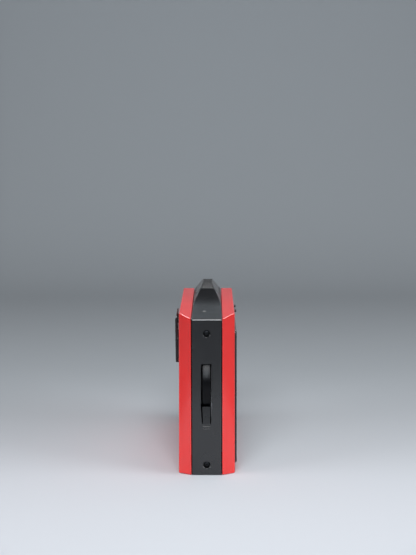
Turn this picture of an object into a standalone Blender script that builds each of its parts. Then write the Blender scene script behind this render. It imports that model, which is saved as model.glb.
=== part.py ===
"""Personal cassette player: a charcoal centre band between two red half shells.

Lengths in this file are millimetres, and MM turns them into Blender's metres.
X runs through the thickness: the cassette door is on +X and the belt clip on -X.
Y runs along the depth: the end with the volume wheel is at -Y and is called near.
Z is up.  The origin is the centre of the band's bottom face.
"""
import math

import bmesh
import bpy
from mathutils import Vector

MM = 0.001

# ---- Driving dimensions: casing ------------------------------------------------------------
BODY_HEIGHT = 107.3
BODY_DEPTH = 123.4
BODY_THICKNESS = 38.0
BAND_WIDTH = 20.2
BAND_WALL = 2.2
SHELL_WALL = 1.8
GAP = 0.3                   # between touching pieces
BEVEL_TOP = 20.6            # how far the shells' near edge is set back, at the top
BEVEL_FOOT = 4.1            # and at the bottom

NEAR = -BODY_DEPTH / 2
FAR = BODY_DEPTH / 2
BAND_X = BAND_WIDTH / 2
SHELL_X = BAND_X + GAP
FACE_X = BODY_THICKNESS / 2
CAVITY_TOP = BODY_HEIGHT - BAND_WALL

# ---- Hump and keys on top of the band ------------------------------------------------------
HUMP_START = 45.0           # depth behind the near end where the ramp begins
HUMP_RIM = 88.1             # depth of the ramp's top edge
HUMP_RIM_HEIGHT = 6.0
HUMP_SUMMIT = 111.5
HUMP_SUMMIT_HEIGHT = 7.6
HUMP_END = 120.8            # depth of the last key's far end
FLANK = 0.838               # sideways run of the flanks per millimetre of height
RAMP_POWER = 2.1
KEY_HALF_WIDTH = 8.6
KEY_SKIRT = 5.0             # how far a key reaches into the band
KEY_SPLIT = 0.4             # gap between keys
KEY_NAMES = ("play_key", "stop_key", "fast_forward_key")
KEY_STEM_X = 5.8
KEY_SPRING_X = -2.5
STEM_FOOT = 88.0
BRACKET_TOP = 92.2

# ---- Volume wheel and its slot -------------------------------------------------------------
WHEEL_X = -0.2
WHEEL_Z = 63.1
WHEEL_RADIUS = 21.5
WHEEL_THICKNESS = 5.1
WHEEL_PROUD = 3.8           # how far the wheel stands out of the near end
WHEEL_Y = NEAR - WHEEL_PROUD + WHEEL_RADIUS
SLOT_TOP = 76.7
SLOT_FOOT = 49.6
SLOT_HALF_WIDTH = 3.4
SCOOP_FOOT = 35.6
SCOOP_DEPTH = 1.6
SCOOP_END_HALF_WIDTH = 2.7

# ---- Cassette and its bay ------------------------------------------------------------------
CASSETTE_Y = 6.9
CASSETTE_LENGTH = 100.4
CASSETTE_FOOT = 11.4
BAY_PLAY = 0.3              # free space at each end of the cassette
REEL_SPACING = 42.5
REEL_Z = CASSETTE_FOOT + 29.0
CAPSTAN_Y = CASSETTE_Y + 23.1
CAPSTAN_Z = 68.8

# ---- Cassette door -------------------------------------------------------------------------
DOOR_BACK_X = 17.7
DOOR_FACE_X = 20.3
DOOR_FOOT = 5.9
DOOR_TOP = 95.2
DOOR_FAR = 58.8
DOOR_EDGE = 1.3             # set-back of the door's near edge from the shell's edge
DOOR_GAP = 0.4
DOOR_FOOT_GAP = 0.9         # more room below, where the door swings
DOOR_CHAMFER = 1.0
HINGE_X = 17.9
HINGE_Z = 7.4
HINGE_PIN_RADIUS = 0.7
HINGE_HOLE_RADIUS = 0.8
LATCH_Y = (3.0, 11.0)
LATCH_Z = (92.0, 94.4)
WINDOW_Y = (-16.0, 42.0)
WINDOW_Z = (30.0, 58.0)
WINDOW_STEP = 1.5           # ledge round the opening, on which the pane sits

# ---- Chassis and mechanism -----------------------------------------------------------------
PLATE_X = (2.9, 3.9)
MOTOR_Y = -25.0
MOTOR_Z = 92.0
MOTOR_RADIUS = 11.0
PULLEY_RADIUS = 3.0
FLYWHEEL_RADIUS = 15.6
FLYWHEEL_X = (-9.4, -5.4)
BELT_X = (-8.1, -6.7)
BELT_THICKNESS = 0.8
DRIVE_X = (-0.4, 2.2)       # plane of the friction wheels
PINION_RADIUS = 5.0
REEL_DISC_RADIUS = 9.0
HEAD_PLATE_X = (4.4, 5.2)
PLAY_TRAVEL = 5.5
ROLLER_RADIUS = 4.6
CAPSTAN_RADIUS = 1.0
ROLLER_Z = CAPSTAN_Z + CAPSTAN_RADIUS + ROLLER_RADIUS + 0.15 + PLAY_TRAVEL
LEDGE_X = (-0.6, 2.6)       # ribs inside the band that the chassis plate is screwed to
LEDGES = (
    ((-50, 50), (1.0, 8.0)), ((-56, -40), (98.0, CAVITY_TOP + 1)), ((-8, 18), (98.0, CAVITY_TOP + 1)))
CHASSIS_SCREWS = ((-46.0, 5.2), (46.0, 5.2), (-48.0, 101.0), (4.0, 101.0))

# ---- Batteries, board, socket --------------------------------------------------------------
LID_X = (-19.0, -17.3)
LID_Y = 3.0
LID_Z = (5.0, 35.0)
BOX_X = (-16.7, -1.0)
BOX_Y = (0.4, 54.8)
BOX_Z = (3.3, 36.2)
BOX_WALL = 1.0
BOARD_X = (-12.6, -11.0)
JACK_X = -7.0
JACK_Z = 58.0

# ---- Belt clip, switches, lamp, screws -----------------------------------------------------
CLIP_HALF_WIDTH = 14.5
CLIP_Z = (66.0, 100.6)
CLIP_INNER_X = -21.2
CLIP_OUTER_X = -22.6
CLIP_PIN_X = -20.0
CLIP_PIN_Z = 95.5
SWITCH_Z = 103.5
SWITCH_HALF_HEIGHT = 0.75
SWITCHES = (("tape_switch", -12.4, 5.0), ("tone_switch", 5.2, 4.4))
SWITCH_TRAVEL = 3.0
LAMP_X = -1.7
LAMP_Y = NEAR + 26.7
SCREWS = (
    ("near", "upper", 97.5), ("near", "lower", 7.2), ("far", "upper", 85.0), ("far", "lower", 7.2))
ENDS = {"near": -1, "far": 1}
SCREW_BOSS = 5.0            # how far the screw bosses reach in from the end faces
SCREW_BOSS_RADIUS = 4.0


# ---- Materials -----------------------------------------------------------------------------
def material(name, colour, roughness, metallic=0.0):
    """A Principled material with one colour, roughness and metallic value."""
    made = bpy.data.materials.new(name)
    made.use_nodes = True
    shader = made.node_tree.nodes["Principled BSDF"]
    shader.inputs["Base Color"].default_value = (*colour, 1.0)
    shader.inputs["Roughness"].default_value = roughness
    shader.inputs["Metallic"].default_value = metallic
    return made


# ---- Mesh tools ----------------------------------------------------------------------------
def solid_from(bm):
    """Link a bmesh as a nameless solid, still in millimetres."""
    bmesh.ops.recalc_face_normals(bm, faces=bm.faces)
    mesh = bpy.data.meshes.new("solid")
    bm.to_mesh(mesh)
    bm.free()
    solid = bpy.data.objects.new("solid", mesh)
    bpy.context.collection.objects.link(solid)
    return solid


def loft(rings):
    """Skin equal-length rings of points and close both ends."""
    bm = bmesh.new()
    rows = [[bm.verts.new(point) for point in ring] for ring in rings]
    count = len(rows[0])
    for row, following in zip(rows, rows[1:]):
        for i in range(count):
            j = (i + 1) % count
            bm.faces.new((row[i], row[j], following[j], following[i]))
    bm.faces.new(rows[0])
    bm.faces.new(rows[-1])
    return solid_from(bm)


def tube(rings):
    """Skin equal-length rings of points into a closed loop, without end faces."""
    bm = bmesh.new()
    rows = [[bm.verts.new(point) for point in ring] for ring in rings]
    count = len(rows[0])
    for index, row in enumerate(rows):
        following = rows[(index + 1) % len(rows)]
        for i in range(count):
            j = (i + 1) % count
            bm.faces.new((row[i], row[j], following[j], following[i]))
    return solid_from(bm)


def lift(axis, along, point):
    """Put a point of an outline at a position along an axis, the outline using the other two."""
    u, v = point
    if axis == "X":
        return (along, u, v)
    if axis == "Y":
        return (u, along, v)
    return (u, v, along)


def prism(outline, axis, start, end):
    """Extrude an outline along an axis."""
    return loft([[lift(axis, along, point) for point in outline] for along in (start, end)])


def frame_prism(outer, inner, axis, start, end):
    """Extrude the area between two outlines that have the same number of points."""
    sections = ((outer, start), (outer, end), (inner, end), (inner, start))
    return tube([[lift(axis, along, point) for point in outline] for outline, along in sections])


def block(x, y, z):
    """A box from its ranges on X, Y and Z."""
    outline = ((x[0], y[0]), (x[1], y[0]), (x[1], y[1]), (x[0], y[1]))
    return prism(outline, "Z", z[0], z[1])


def circle(centre, radius, segments):
    """Points of a regular polygon round a centre."""
    turns = [2 * math.pi * i / segments for i in range(segments)]
    return [(centre[0] + radius * math.cos(t), centre[1] + radius * math.sin(t)) for t in turns]


def turned(axis, centre, profile, segments=16, bore=None):
    """Turn a profile of (position along the axis, radius) about an axis, with an optional bore."""
    sections = list(profile)
    if bore is not None:
        sections += [(profile[-1][0], bore), (profile[0][0], bore)]
    rings = []
    for along, radius in sections:
        rings.append([lift(axis, along, point) for point in circle(centre, radius, segments)])
    return loft(rings) if bore is None else tube(rings)


def rod(axis, centre, radius, start, end, segments=16):
    """A plain round bar along an axis."""
    return turned(axis, centre, ((start, radius), (end, radius)), segments)


def rounded(points, radius, steps=3):
    """Replace each corner of an outline by an arc-like run of points."""
    outline = []
    for i, point in enumerate(points):
        corner = Vector(point)
        before = (Vector(points[i - 1]) - corner).normalized() * radius
        after = (Vector(points[(i + 1) % len(points)]) - corner).normalized() * radius
        for step in range(steps + 1):
            t = step / steps
            blend = before * (1 - t) ** 2 + after * t ** 2
            outline.append(tuple(corner + blend))
    return outline


def widened(bounds, amount):
    """A range made longer at both ends."""
    return (bounds[0] - amount, bounds[1] + amount)


def rectangle(u, v):
    """The four corners of a rectangle from its two ranges."""
    return ((u[0], v[0]), (u[1], v[0]), (u[1], v[1]), (u[0], v[1]))


def combine(solid, tool, operation):
    """Apply one exact Boolean to a solid and remove the tool."""
    modifier = solid.modifiers.new("boolean", "BOOLEAN")
    modifier.operation = operation
    modifier.solver = "EXACT"
    modifier.object = tool
    graph = bpy.context.evaluated_depsgraph_get()
    result = bpy.data.meshes.new_from_object(solid.evaluated_get(graph))
    solid.modifiers.clear()
    solid.data = result
    bpy.data.objects.remove(tool)
    return solid


def fuse(solid, *tools):
    """Join solids that overlap into one."""
    for tool in tools:
        combine(solid, tool, "UNION")
    return solid


def cut(solid, *tools):
    """Take solids away from a solid."""
    for tool in tools:
        combine(solid, tool, "DIFFERENCE")
    return solid


def finish(solid, name, finish_material, origin=(0, 0, 0)):
    """Name a solid, scale it to metres, and put its origin on its joint's axis."""
    mesh = solid.data
    centre = Vector(origin)
    for vertex in mesh.vertices:
        vertex.co = (vertex.co - centre) * MM
    mesh.materials.clear()
    mesh.materials.append(finish_material)
    mesh.shade_smooth()
    mesh.set_sharp_from_angle(angle=math.radians(35))
    mesh.name = name
    solid.name = name
    solid.location = centre * MM
    return solid


# ---- Shapes that several parts share -------------------------------------------------------
def bevel_depth(z):
    """Set-back of the shells' near edge at a height."""
    return BEVEL_FOOT + (BEVEL_TOP - BEVEL_FOOT) * z / BODY_HEIGHT


def hump_height(depth):
    """Height of the hump above the band's top, at a depth behind the near end."""
    if depth <= HUMP_RIM:
        ramp = max(0.0, (depth - HUMP_START) / (HUMP_RIM - HUMP_START))
        return HUMP_RIM_HEIGHT * ramp ** RAMP_POWER
    span = HUMP_SUMMIT - HUMP_RIM
    crown = (depth - HUMP_SUMMIT) / span
    return HUMP_SUMMIT_HEIGHT - (HUMP_SUMMIT_HEIGHT - HUMP_RIM_HEIGHT) * crown ** 2


def hump_section(depth, half_width, foot):
    """Cross-section of the hump at a depth, with upright sides below its flanks."""
    height = hump_height(depth)
    shoulder = min((BAND_X - half_width) / FLANK, height)
    top_width = min(BAND_X - FLANK * height, half_width)
    y = NEAR + depth
    crest = (top_width, BODY_HEIGHT + height)
    right = ((half_width, foot), (half_width, BODY_HEIGHT + shoulder), crest)
    left = [(-x, z) for x, z in reversed(right)]
    return [(x, y, z) for x, z in (*right, *left)]


def end_screw_hole(z, end):
    """Cutter for a recessed screw in an end wall; end is -1 for near and +1 for far."""
    face = end * FAR
    inward = -end
    profile = (
        (face - inward, 3.9),
        (face, 3.3),
        (face + inward * 1.0, 2.3),
        (face + inward * 3.2, 2.3),
        (face + inward * 3.2, 1.2),
        (face + inward * (SCREW_BOSS + 1.0), 1.2),
    )
    return turned("Y", (0, z), profile)


# ---- Casing --------------------------------------------------------------------------------
def centre_band(charcoal):
    """Ring between the shells, with the hump, the key well and the wheel slot."""
    band = frame_prism(
        rectangle((NEAR, FAR), (0, BODY_HEIGHT)),
        rectangle((NEAR + BAND_WALL, FAR - BAND_WALL), (BAND_WALL, CAVITY_TOP)),
        "X", -BAND_X, BAND_X)
    depths = [HUMP_START + (HUMP_RIM - HUMP_START) * i / 6 for i in range(1, 7)]
    depths += [HUMP_SUMMIT, BODY_DEPTH]
    fuse(band, loft([hump_section(depth, BAND_X, BODY_HEIGHT - 1.0) for depth in depths]))
    for end_name, _, z in SCREWS:
        boss_y = sorted((ENDS[end_name] * (FAR - 1.0), ENDS[end_name] * (FAR - SCREW_BOSS)))
        fuse(band, rod("Y", (0, z), SCREW_BOSS_RADIUS, *boss_y, 12))
    for ledge_y, ledge_z in LEDGES:
        fuse(band, block(LEDGE_X, ledge_y, ledge_z))
    well = (NEAR + HUMP_RIM, NEAR + HUMP_END)
    cut(band, block((-8.9, 8.9), well, (CAVITY_TOP - 3, BODY_HEIGHT + 12)))
    slot_x = (WHEEL_X - SLOT_HALF_WIDTH, WHEEL_X + SLOT_HALF_WIDTH)
    cut(band, block(slot_x, (NEAR - 2, NEAR + 5), (SLOT_FOOT, SLOT_TOP)))
    relief_z = (SLOT_FOOT - 2.2, SLOT_TOP + 2.1)
    cut(band, block(slot_x, (NEAR + 0.6, NEAR + 5), relief_z))
    cut(band, finger_scoop())
    for end_name, _, z in SCREWS:
        cut(band, end_screw_hole(z, ENDS[end_name]))
    cut(band, rod("Z", (LAMP_X, LAMP_Y), 1.4, CAVITY_TOP - 2, BODY_HEIGHT + 2, 12))
    cut(band, rod("Y", (JACK_X, JACK_Z), 2.6, FAR - 5, FAR + 2, 16))
    for y, z in CHASSIS_SCREWS:
        cut(band, rod("X", (y, z), 1.1, -3.0, 4.0, 8))
    return finish(band, "centre_frame", charcoal)


def finger_scoop():
    """Cutter for the ramp under the wheel, narrowing and running out downwards."""
    rings = []
    for z, depth, half in ((SLOT_FOOT + 1, SCOOP_DEPTH, SLOT_HALF_WIDTH),
                           (SCOOP_FOOT, 0.05, SCOOP_END_HALF_WIDTH)):
        low, high = WHEEL_X - half, WHEEL_X + half
        front, back = NEAR - 1, NEAR + depth
        rings.append([(low, front, z), (high, front, z), (high, back, z), (low, back, z)])
    return loft(rings)


def half_shell(side):
    """Outer half of the casing; side is +1 for the door half and -1 for the clip half."""
    def slab(x_range, near_in, near_out, far, z_range):
        rows = 6
        rings = []
        for row in range(rows + 1):
            z = z_range[0] + (z_range[1] - z_range[0]) * row / rows
            rings.append([
                (side * x_range[0], NEAR + near_in, z),
                (side * x_range[1], NEAR + near_out(z), z),
                (side * x_range[1], far, z),
                (side * x_range[0], far, z),
            ])
        return loft(rings)

    def room_near(z):
        reach = (FACE_X - SHELL_WALL - SHELL_X) / (FACE_X - SHELL_X)
        return bevel_depth(z) * reach + BAND_WALL

    shell = slab((SHELL_X, FACE_X), 0.0, bevel_depth, FAR, (0, BODY_HEIGHT))
    room_x = (SHELL_X - 2, FACE_X - SHELL_WALL)
    room_z = (SHELL_WALL, BODY_HEIGHT - SHELL_WALL)
    cut(shell, slab(room_x, BAND_WALL, room_near, FAR - SHELL_WALL, room_z))
    return shell


def door_outline(grow, foot_grow=None):
    """Outline of the cassette door in Y and Z, grown on every side."""
    foot = DOOR_FOOT - (grow if foot_grow is None else foot_grow)
    top = DOOR_TOP + grow
    far = DOOR_FAR + grow

    def near(z):
        return NEAR + bevel_depth(z) + DOOR_EDGE - grow

    return ((near(foot), foot), (far, foot), (far, top), (near(top), top))


def front_shell(red):
    """Red half with the door opening, the switch slots and the hinge pin holes."""
    shell = half_shell(1)
    cut(shell, prism(rounded(door_outline(DOOR_GAP, DOOR_FOOT_GAP), 2.4), "X", 15.0, 22.0))
    for _, y, length in SWITCHES:
        slot_y = (y - length / 2 - GAP, y + length / 2 + SWITCH_TRAVEL + GAP)
        slot_half = SWITCH_HALF_HEIGHT + GAP
        cut(shell, block((15.0, 21.0), slot_y, (SWITCH_Z - slot_half, SWITCH_Z + slot_half)))
    near_face = NEAR + bevel_depth(HINGE_Z)
    for start, end in ((near_face, near_face + 4), (FAR - 6, FAR - 1.1)):
        cut(shell, rod("Y", (HINGE_X, HINGE_Z), HINGE_HOLE_RADIUS, start, end, 12))
    return finish(shell, "front_shell", red)


def rear_shell(red):
    """Red half with the battery opening, which runs out through the far end."""
    shell = half_shell(-1)
    opening_y = (LID_Y - GAP, FAR + 2)
    cut(shell, block((-21.0, LID_X[1] + GAP), opening_y, (LID_Z[0] - GAP, LID_Z[1] + GAP)))
    cut(shell, block((-18.0, -16.0), (LID_Y - GAP, FAR - 3.5), (LID_Z[0] + 0.6, LID_Z[1] - 0.6)))
    return finish(shell, "rear_shell", red)


# ---- Cassette door -------------------------------------------------------------------------
def cassette_door(black):
    """Raised black panel that swings out about its foot, with a latch tab at its top."""
    full = rounded(door_outline(0.0), 2.0)
    rim = rounded(door_outline(-DOOR_CHAMFER), 1.6)
    sections = ((DOOR_BACK_X, full), (DOOR_FACE_X - DOOR_CHAMFER, full), (DOOR_FACE_X, rim))
    door = loft([[lift("X", x, point) for point in outline] for x, outline in sections])
    seat = rounded(rectangle(widened(WINDOW_Y, WINDOW_STEP), widened(WINDOW_Z, WINDOW_STEP)), 3)
    cut(door, prism(seat, "X", 18.9, 22.0))
    cut(door, prism(rounded(rectangle(WINDOW_Y, WINDOW_Z), 2), "X", 16.0, 22.0))
    fuse(door, block((14.6, DOOR_BACK_X + 0.5), LATCH_Y, LATCH_Z))
    near_end = NEAR + bevel_depth(HINGE_Z) + DOOR_EDGE
    for start, end in ((near_end - 2, near_end + 4.5), (DOOR_FAR - 5, DOOR_FAR + 2)):
        cut(door, rod("Y", (HINGE_X, HINGE_Z), HINGE_HOLE_RADIUS, start, end, 12))
    return finish(door, "cassette_door", black, (HINGE_X, 0, HINGE_Z))


def door_window(smoke):
    """Smoked pane that fills the seat in the door."""
    reach = WINDOW_STEP - GAP
    outline = rectangle(widened(WINDOW_Y, reach), widened(WINDOW_Z, reach))
    pane = prism(rounded(outline, 2.7), "X", 19.2, 20.2)
    return finish(pane, "door_window", smoke, (HINGE_X, 0, HINGE_Z))


def cassette_holder(steel):
    """Sheet-metal carrier behind the door: two side walls with lips, and a shelf."""
    half = CASSETTE_LENGTH / 2 + BAY_PLAY
    low, high = CASSETTE_Y - half, CASSETTE_Y + half
    thick = 0.8
    foot = CASSETTE_FOOT - 0.2
    top = 70.0
    outline = (
        (low - thick, foot - thick), (high + thick, foot - thick), (high + thick, top),
        (high, top), (high, foot), (low, foot), (low, top), (low - thick, top))
    holder = prism(outline, "X", HEAD_PLATE_X[0], DOOR_BACK_X - GAP)
    lip_x = HEAD_PLATE_X
    fuse(holder, block(lip_x, (low - thick / 2, low + 4.5), (foot - thick / 2, top)))
    fuse(holder, block(lip_x, (high - 4.5, high + thick / 2), (foot - thick / 2, top)))
    return finish(holder, "cassette_holder", steel, (HINGE_X, 0, HINGE_Z))


def door_hinge_pins(steel):
    """Two short pins on the door's axis."""
    near_face = NEAR + bevel_depth(HINGE_Z)
    near = rod("Y", (HINGE_X, HINGE_Z), HINGE_PIN_RADIUS, near_face + 0.25, near_face + 5.4, 12)
    far = rod("Y", (HINGE_X, HINGE_Z), HINGE_PIN_RADIUS, DOOR_FAR - 4.6, FAR - 1.4, 12)
    finish(near, "door_hinge_pin_near", steel, (HINGE_X, 0, HINGE_Z))
    finish(far, "door_hinge_pin_far", steel, (HINGE_X, 0, HINGE_Z))


def door_catch_spring(steel):
    """Leaf spring above the door's tab, which it holds by friction."""
    low, high = LATCH_Z[1] + 0.6, LATCH_Z[1] + 5.0
    thick = 0.5
    outline = (
        (12.4, low), (16.9, low), (16.9, high), (16.9 - thick, high), (16.9 - thick, low + thick),
        (12.4, low + thick))
    spring_y = (LATCH_Y[0] + 1.0, LATCH_Y[1] - 1.0)
    return finish(prism(outline, "Y", *spring_y), "door_catch_spring", steel)


# ---- Keys ----------------------------------------------------------------------------------
def key_range(index):
    """Depths where a key starts and ends."""
    room = HUMP_END - HUMP_RIM - 2 * GAP - KEY_SPLIT * (len(KEY_NAMES) - 1)
    length = room / len(KEY_NAMES)
    start = HUMP_RIM + GAP + index * (length + KEY_SPLIT)
    return start, start + length


def key(index, charcoal):
    """A key: a slice of the hump with a skirt and a stem."""
    start, end = key_range(index)
    middle = (start + end) / 2
    foot = BODY_HEIGHT - KEY_SKIRT
    cap = loft([hump_section(depth, KEY_HALF_WIDTH, foot) for depth in (start, middle, end)])
    y = NEAR + middle
    stem_x = (KEY_STEM_X - 1.4, KEY_STEM_X + 1.4)
    fuse(cap, block(stem_x, (y - 2, y + 2), (STEM_FOOT, foot + 1)))
    return finish(cap, KEY_NAMES[index], charcoal, (0, y, BODY_HEIGHT))


def coil(centre, radius, wire, z_range, turns):
    """A coil spring of square wire section, standing on Z."""
    steps = 8 * turns
    rings = []
    for step in range(steps + 1):
        angle = 2 * math.pi * step / 8
        z = z_range[0] + wire + (z_range[1] - z_range[0] - 2 * wire) * step / steps
        ring = []
        for corner in range(4):
            turn = math.pi * (2 * corner + 1) / 4
            reach = radius + wire * math.cos(turn)
            ring.append((
                centre[0] + reach * math.cos(angle),
                centre[1] + reach * math.sin(angle),
                z + wire * math.sin(turn)))
        rings.append(ring)
    return loft(rings)


def key_spring(index, steel):
    """Return spring between a key and the bracket."""
    start, end = key_range(index)
    y = NEAR + (start + end) / 2
    z_range = (BRACKET_TOP + GAP, BODY_HEIGHT - KEY_SKIRT - GAP)
    spring = coil((KEY_SPRING_X, y), 2.2, 0.28, z_range, 4)
    return finish(spring, KEY_NAMES[index].replace("_key", "_key_spring"), steel)


def key_bracket(steel):
    """Plate that guides the key stems."""
    bracket_y = (NEAR + HUMP_RIM - 1, NEAR + HUMP_END)
    bracket = block((-8.2, 8.2), bracket_y, (BRACKET_TOP - 1.2, BRACKET_TOP))
    for index in range(len(KEY_NAMES)):
        y = NEAR + sum(key_range(index)) / 2
        hole_x = (KEY_STEM_X - 1.4 - GAP, KEY_STEM_X + 1.4 + GAP)
        cut(bracket, block(hole_x, (y - 2 - GAP, y + 2 + GAP), (BRACKET_TOP - 5, BRACKET_TOP + 5)))
    return finish(bracket, "key_bracket", steel)


# ---- Controls ------------------------------------------------------------------------------
def volume_wheel(gloss_black):
    """Thumbwheel on an axis along X, standing out of the near end."""
    low = WHEEL_X - WHEEL_THICKNESS / 2
    high = WHEEL_X + WHEEL_THICKNESS / 2
    edge = WHEEL_RADIUS - 0.5
    profile = (
        (low, edge), (low + 0.5, WHEEL_RADIUS), (high - 0.5, WHEEL_RADIUS), (high, edge))
    wheel = turned("X", (WHEEL_Y, WHEEL_Z), profile, 40, 1.6)
    return finish(wheel, "volume_wheel", gloss_black, (WHEEL_X, WHEEL_Y, WHEEL_Z))


def volume_control(black):
    """Rotary control on the board; its shaft carries the wheel."""
    body_x = (BOARD_X[1] + GAP, WHEEL_X - WHEEL_THICKNESS / 2 - GAP)
    body = block(body_x, (WHEEL_Y - 6, WHEEL_Y + 6), (WHEEL_Z - 6, WHEEL_Z + 6))
    fuse(body, rod("X", (WHEEL_Y, WHEEL_Z), 1.5, body_x[0] + 2, WHEEL_X + WHEEL_THICKNESS / 2, 40))
    return finish(body, "volume_control", black)


def slide_switch(name, y, length, black, steel):
    """Knob in its slot in the front shell, and the switch behind it."""
    half = length / 2
    height = (SWITCH_Z - SWITCH_HALF_HEIGHT, SWITCH_Z + SWITCH_HALF_HEIGHT)
    knob = block((16.5, 20.5), (y - half, y + half), height)
    fuse(knob, block((15.9, 16.9), (y - half - 1, y + half + 1), (SWITCH_Z - 2.0, SWITCH_Z + 1.5)))
    finish(knob, name + "_knob", black, (FACE_X, y, SWITCH_Z))
    body_y = (y - half - 1, y + half + SWITCH_TRAVEL + 1)
    body = block((12.2, 15.6), body_y, (SWITCH_Z - 3.5, SWITCH_Z + 1.5))
    finish(body, name + "_body", steel)


def power_lamp(lamp_red):
    """Small lens in the band's top, with a foot under the wall."""
    profile = (
        (CAVITY_TOP - 1.8, 2.0), (CAVITY_TOP - GAP, 2.0), (CAVITY_TOP - GAP, 1.1),
        (BODY_HEIGHT + 0.1, 1.1), (BODY_HEIGHT + 0.4, 0.7))
    return finish(turned("Z", (LAMP_X, LAMP_Y), profile, 12), "power_lamp", lamp_red)


def headphone_jack(black):
    """Socket in the far end, on the board."""
    collar = FAR - BAND_WALL - GAP
    profile = ((FAR - 0.4, 2.3), (collar, 2.3), (collar, 3.5), (FAR - 14, 3.5))
    jack = turned("Y", (JACK_X, JACK_Z), profile, 16)
    cut(jack, rod("Y", (JACK_X, JACK_Z), 1.8, FAR - 13, FAR + 1, 16))
    return finish(jack, "headphone_jack", black)


# ---- Belt clip -----------------------------------------------------------------------------
def belt_clip(black):
    """Sprung lever plate with a tooth at its foot and knuckles at its pin."""
    foot, top = CLIP_Z
    outline = (
        (CLIP_INNER_X + 1.3, foot), (CLIP_INNER_X + 1.3, foot + 0.8), (CLIP_INNER_X, foot + 2.4),
        (CLIP_INNER_X, top - 0.4), (CLIP_INNER_X - 0.3, top), (CLIP_OUTER_X + 0.7, top),
        (CLIP_OUTER_X, top - 3.6), (CLIP_OUTER_X + 0.25, foot + 0.8), (CLIP_OUTER_X + 0.9, foot))
    clip = prism(outline, "Y", -CLIP_HALF_WIDTH, CLIP_HALF_WIDTH)
    knuckle_x = (CLIP_INNER_X - 0.3, CLIP_PIN_X + 0.7)
    knuckle_z = (CLIP_PIN_Z - 1.2, CLIP_PIN_Z + 1.2)
    fuse(clip, block(knuckle_x, (-10.6, -7.4), knuckle_z), block(knuckle_x, (7.4, 10.6), knuckle_z))
    cut(clip, rod("Y", (CLIP_PIN_X, CLIP_PIN_Z), 0.5, -12, 12, 8))
    return finish(clip, "belt_clip", black, (CLIP_PIN_X, 0, CLIP_PIN_Z))


def clip_bracket(steel):
    """Base plate on the rear shell, open behind the knuckles and the spring, with two ears."""
    base_x = (-FACE_X - 0.9, -FACE_X - GAP)
    bracket = block(base_x, (-13.6, 13.6), (85.0, 100.2))
    for room_y in ((-11.0, -7.1), (-4.8, 4.8), (7.1, 11.0)):
        cut(bracket, block((-21.0, -18.0), room_y, (CLIP_PIN_Z - 1.9, CLIP_PIN_Z + 1.9)))
    ear_x = (CLIP_PIN_X - 0.8, -FACE_X - GAP)
    for low, high in ((-6.8, -5.0), (5.0, 6.8)):
        fuse(bracket, block(ear_x, (low, high), (CLIP_PIN_Z - 2.6, CLIP_PIN_Z + 1.2)))
    cut(bracket, rod("Y", (CLIP_PIN_X, CLIP_PIN_Z), 0.5, -12, 12, 8))
    return finish(bracket, "clip_bracket", steel)


def clip_pin(steel):
    """Pin through the ears and the knuckles."""
    return finish(rod("Y", (CLIP_PIN_X, CLIP_PIN_Z), 0.4, -10.4, 10.4, 8), "clip_pin", steel)


def clip_spring(steel):
    """Close-wound torsion spring round the pin, between the ears."""
    turns = 9
    profile = []
    for i in range(2 * turns + 1):
        profile.append((-4.5 + 9.0 * i / (2 * turns), 0.62 if i % 2 else 0.72))
    return finish(turned("Y", (CLIP_PIN_X, CLIP_PIN_Z), profile, 8, 0.5), "clip_spring", steel)


# ---- Chassis and tape drive ----------------------------------------------------------------
def chassis_plate(steel):
    """Steel plate that carries the mechanism behind the cassette."""
    low, high = PLATE_X
    outline = ((-53.5, 3), (53.5, 3), (53.5, 86), (22, 86), (22, 104), (-53.5, 104))
    plate = prism(outline, "X", low, high)
    holes = [(MOTOR_Y, MOTOR_Z, MOTOR_RADIUS + GAP, 20), (CAPSTAN_Y, CAPSTAN_Z, 2.9, 12)]
    for side in (-1, 1):
        holes.append((CASSETTE_Y + side * REEL_SPACING / 2, REEL_Z, 2.4, 12))
    for y, z in CHASSIS_SCREWS:
        holes.append((y, z, 1.1, 8))
    for y, z, radius, segments in holes:
        cut(plate, rod("X", (y, z), radius, low - 1, high + 1, segments))
    return finish(plate, "chassis_plate", steel)


def chassis_screws(steel):
    """Pan-head screws that hold the plate to the band's ledges."""
    head_x = PLATE_X[1] + GAP
    profile = ((-0.3, 0.8), (head_x, 0.8), (head_x, 1.8), (head_x + 1.0, 1.2))
    for number, (y, z) in enumerate(CHASSIS_SCREWS, 1):
        finish(turned("X", (y, z), profile, 8), "chassis_screw_%d" % number, steel)


def end_screws(steel):
    """Recessed cross-head screws in the two ends of the band."""
    for end_name, height_name, z in SCREWS:
        inward = -ENDS[end_name]
        face = -inward * FAR
        profile = (
            (face + inward * 1.2, 1.4), (face + inward * 1.6, 2.0), (face + inward * 2.9, 2.0),
            (face + inward * 2.9, 0.9), (face + inward * (SCREW_BOSS - GAP), 0.9))
        screw = turned("Y", (0, z), profile, 16)
        slot_y = sorted((face + inward * 0.5, face + inward * 2.1))
        cut(screw, block((-0.3, 0.3), slot_y, (z - 1.1, z + 1.1)))
        cut(screw, block((-1.1, 1.1), slot_y, (z - 0.3, z + 0.3)))
        finish(screw, "%s_screw_%s" % (end_name, height_name), steel)


def motor(steel):
    """Round motor held in the plate, shaft towards the rear."""
    end_radius = MOTOR_RADIUS - 0.6
    profile = ((-4.9, end_radius), (-4.3, MOTOR_RADIUS), (10.4, MOTOR_RADIUS), (11.0, end_radius))
    case = turned("X", (MOTOR_Y, MOTOR_Z), profile, 20)
    fuse(case, rod("X", (MOTOR_Y, MOTOR_Z), 0.75, -10.0, 0.0, 12))
    return finish(case, "motor", steel)


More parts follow.
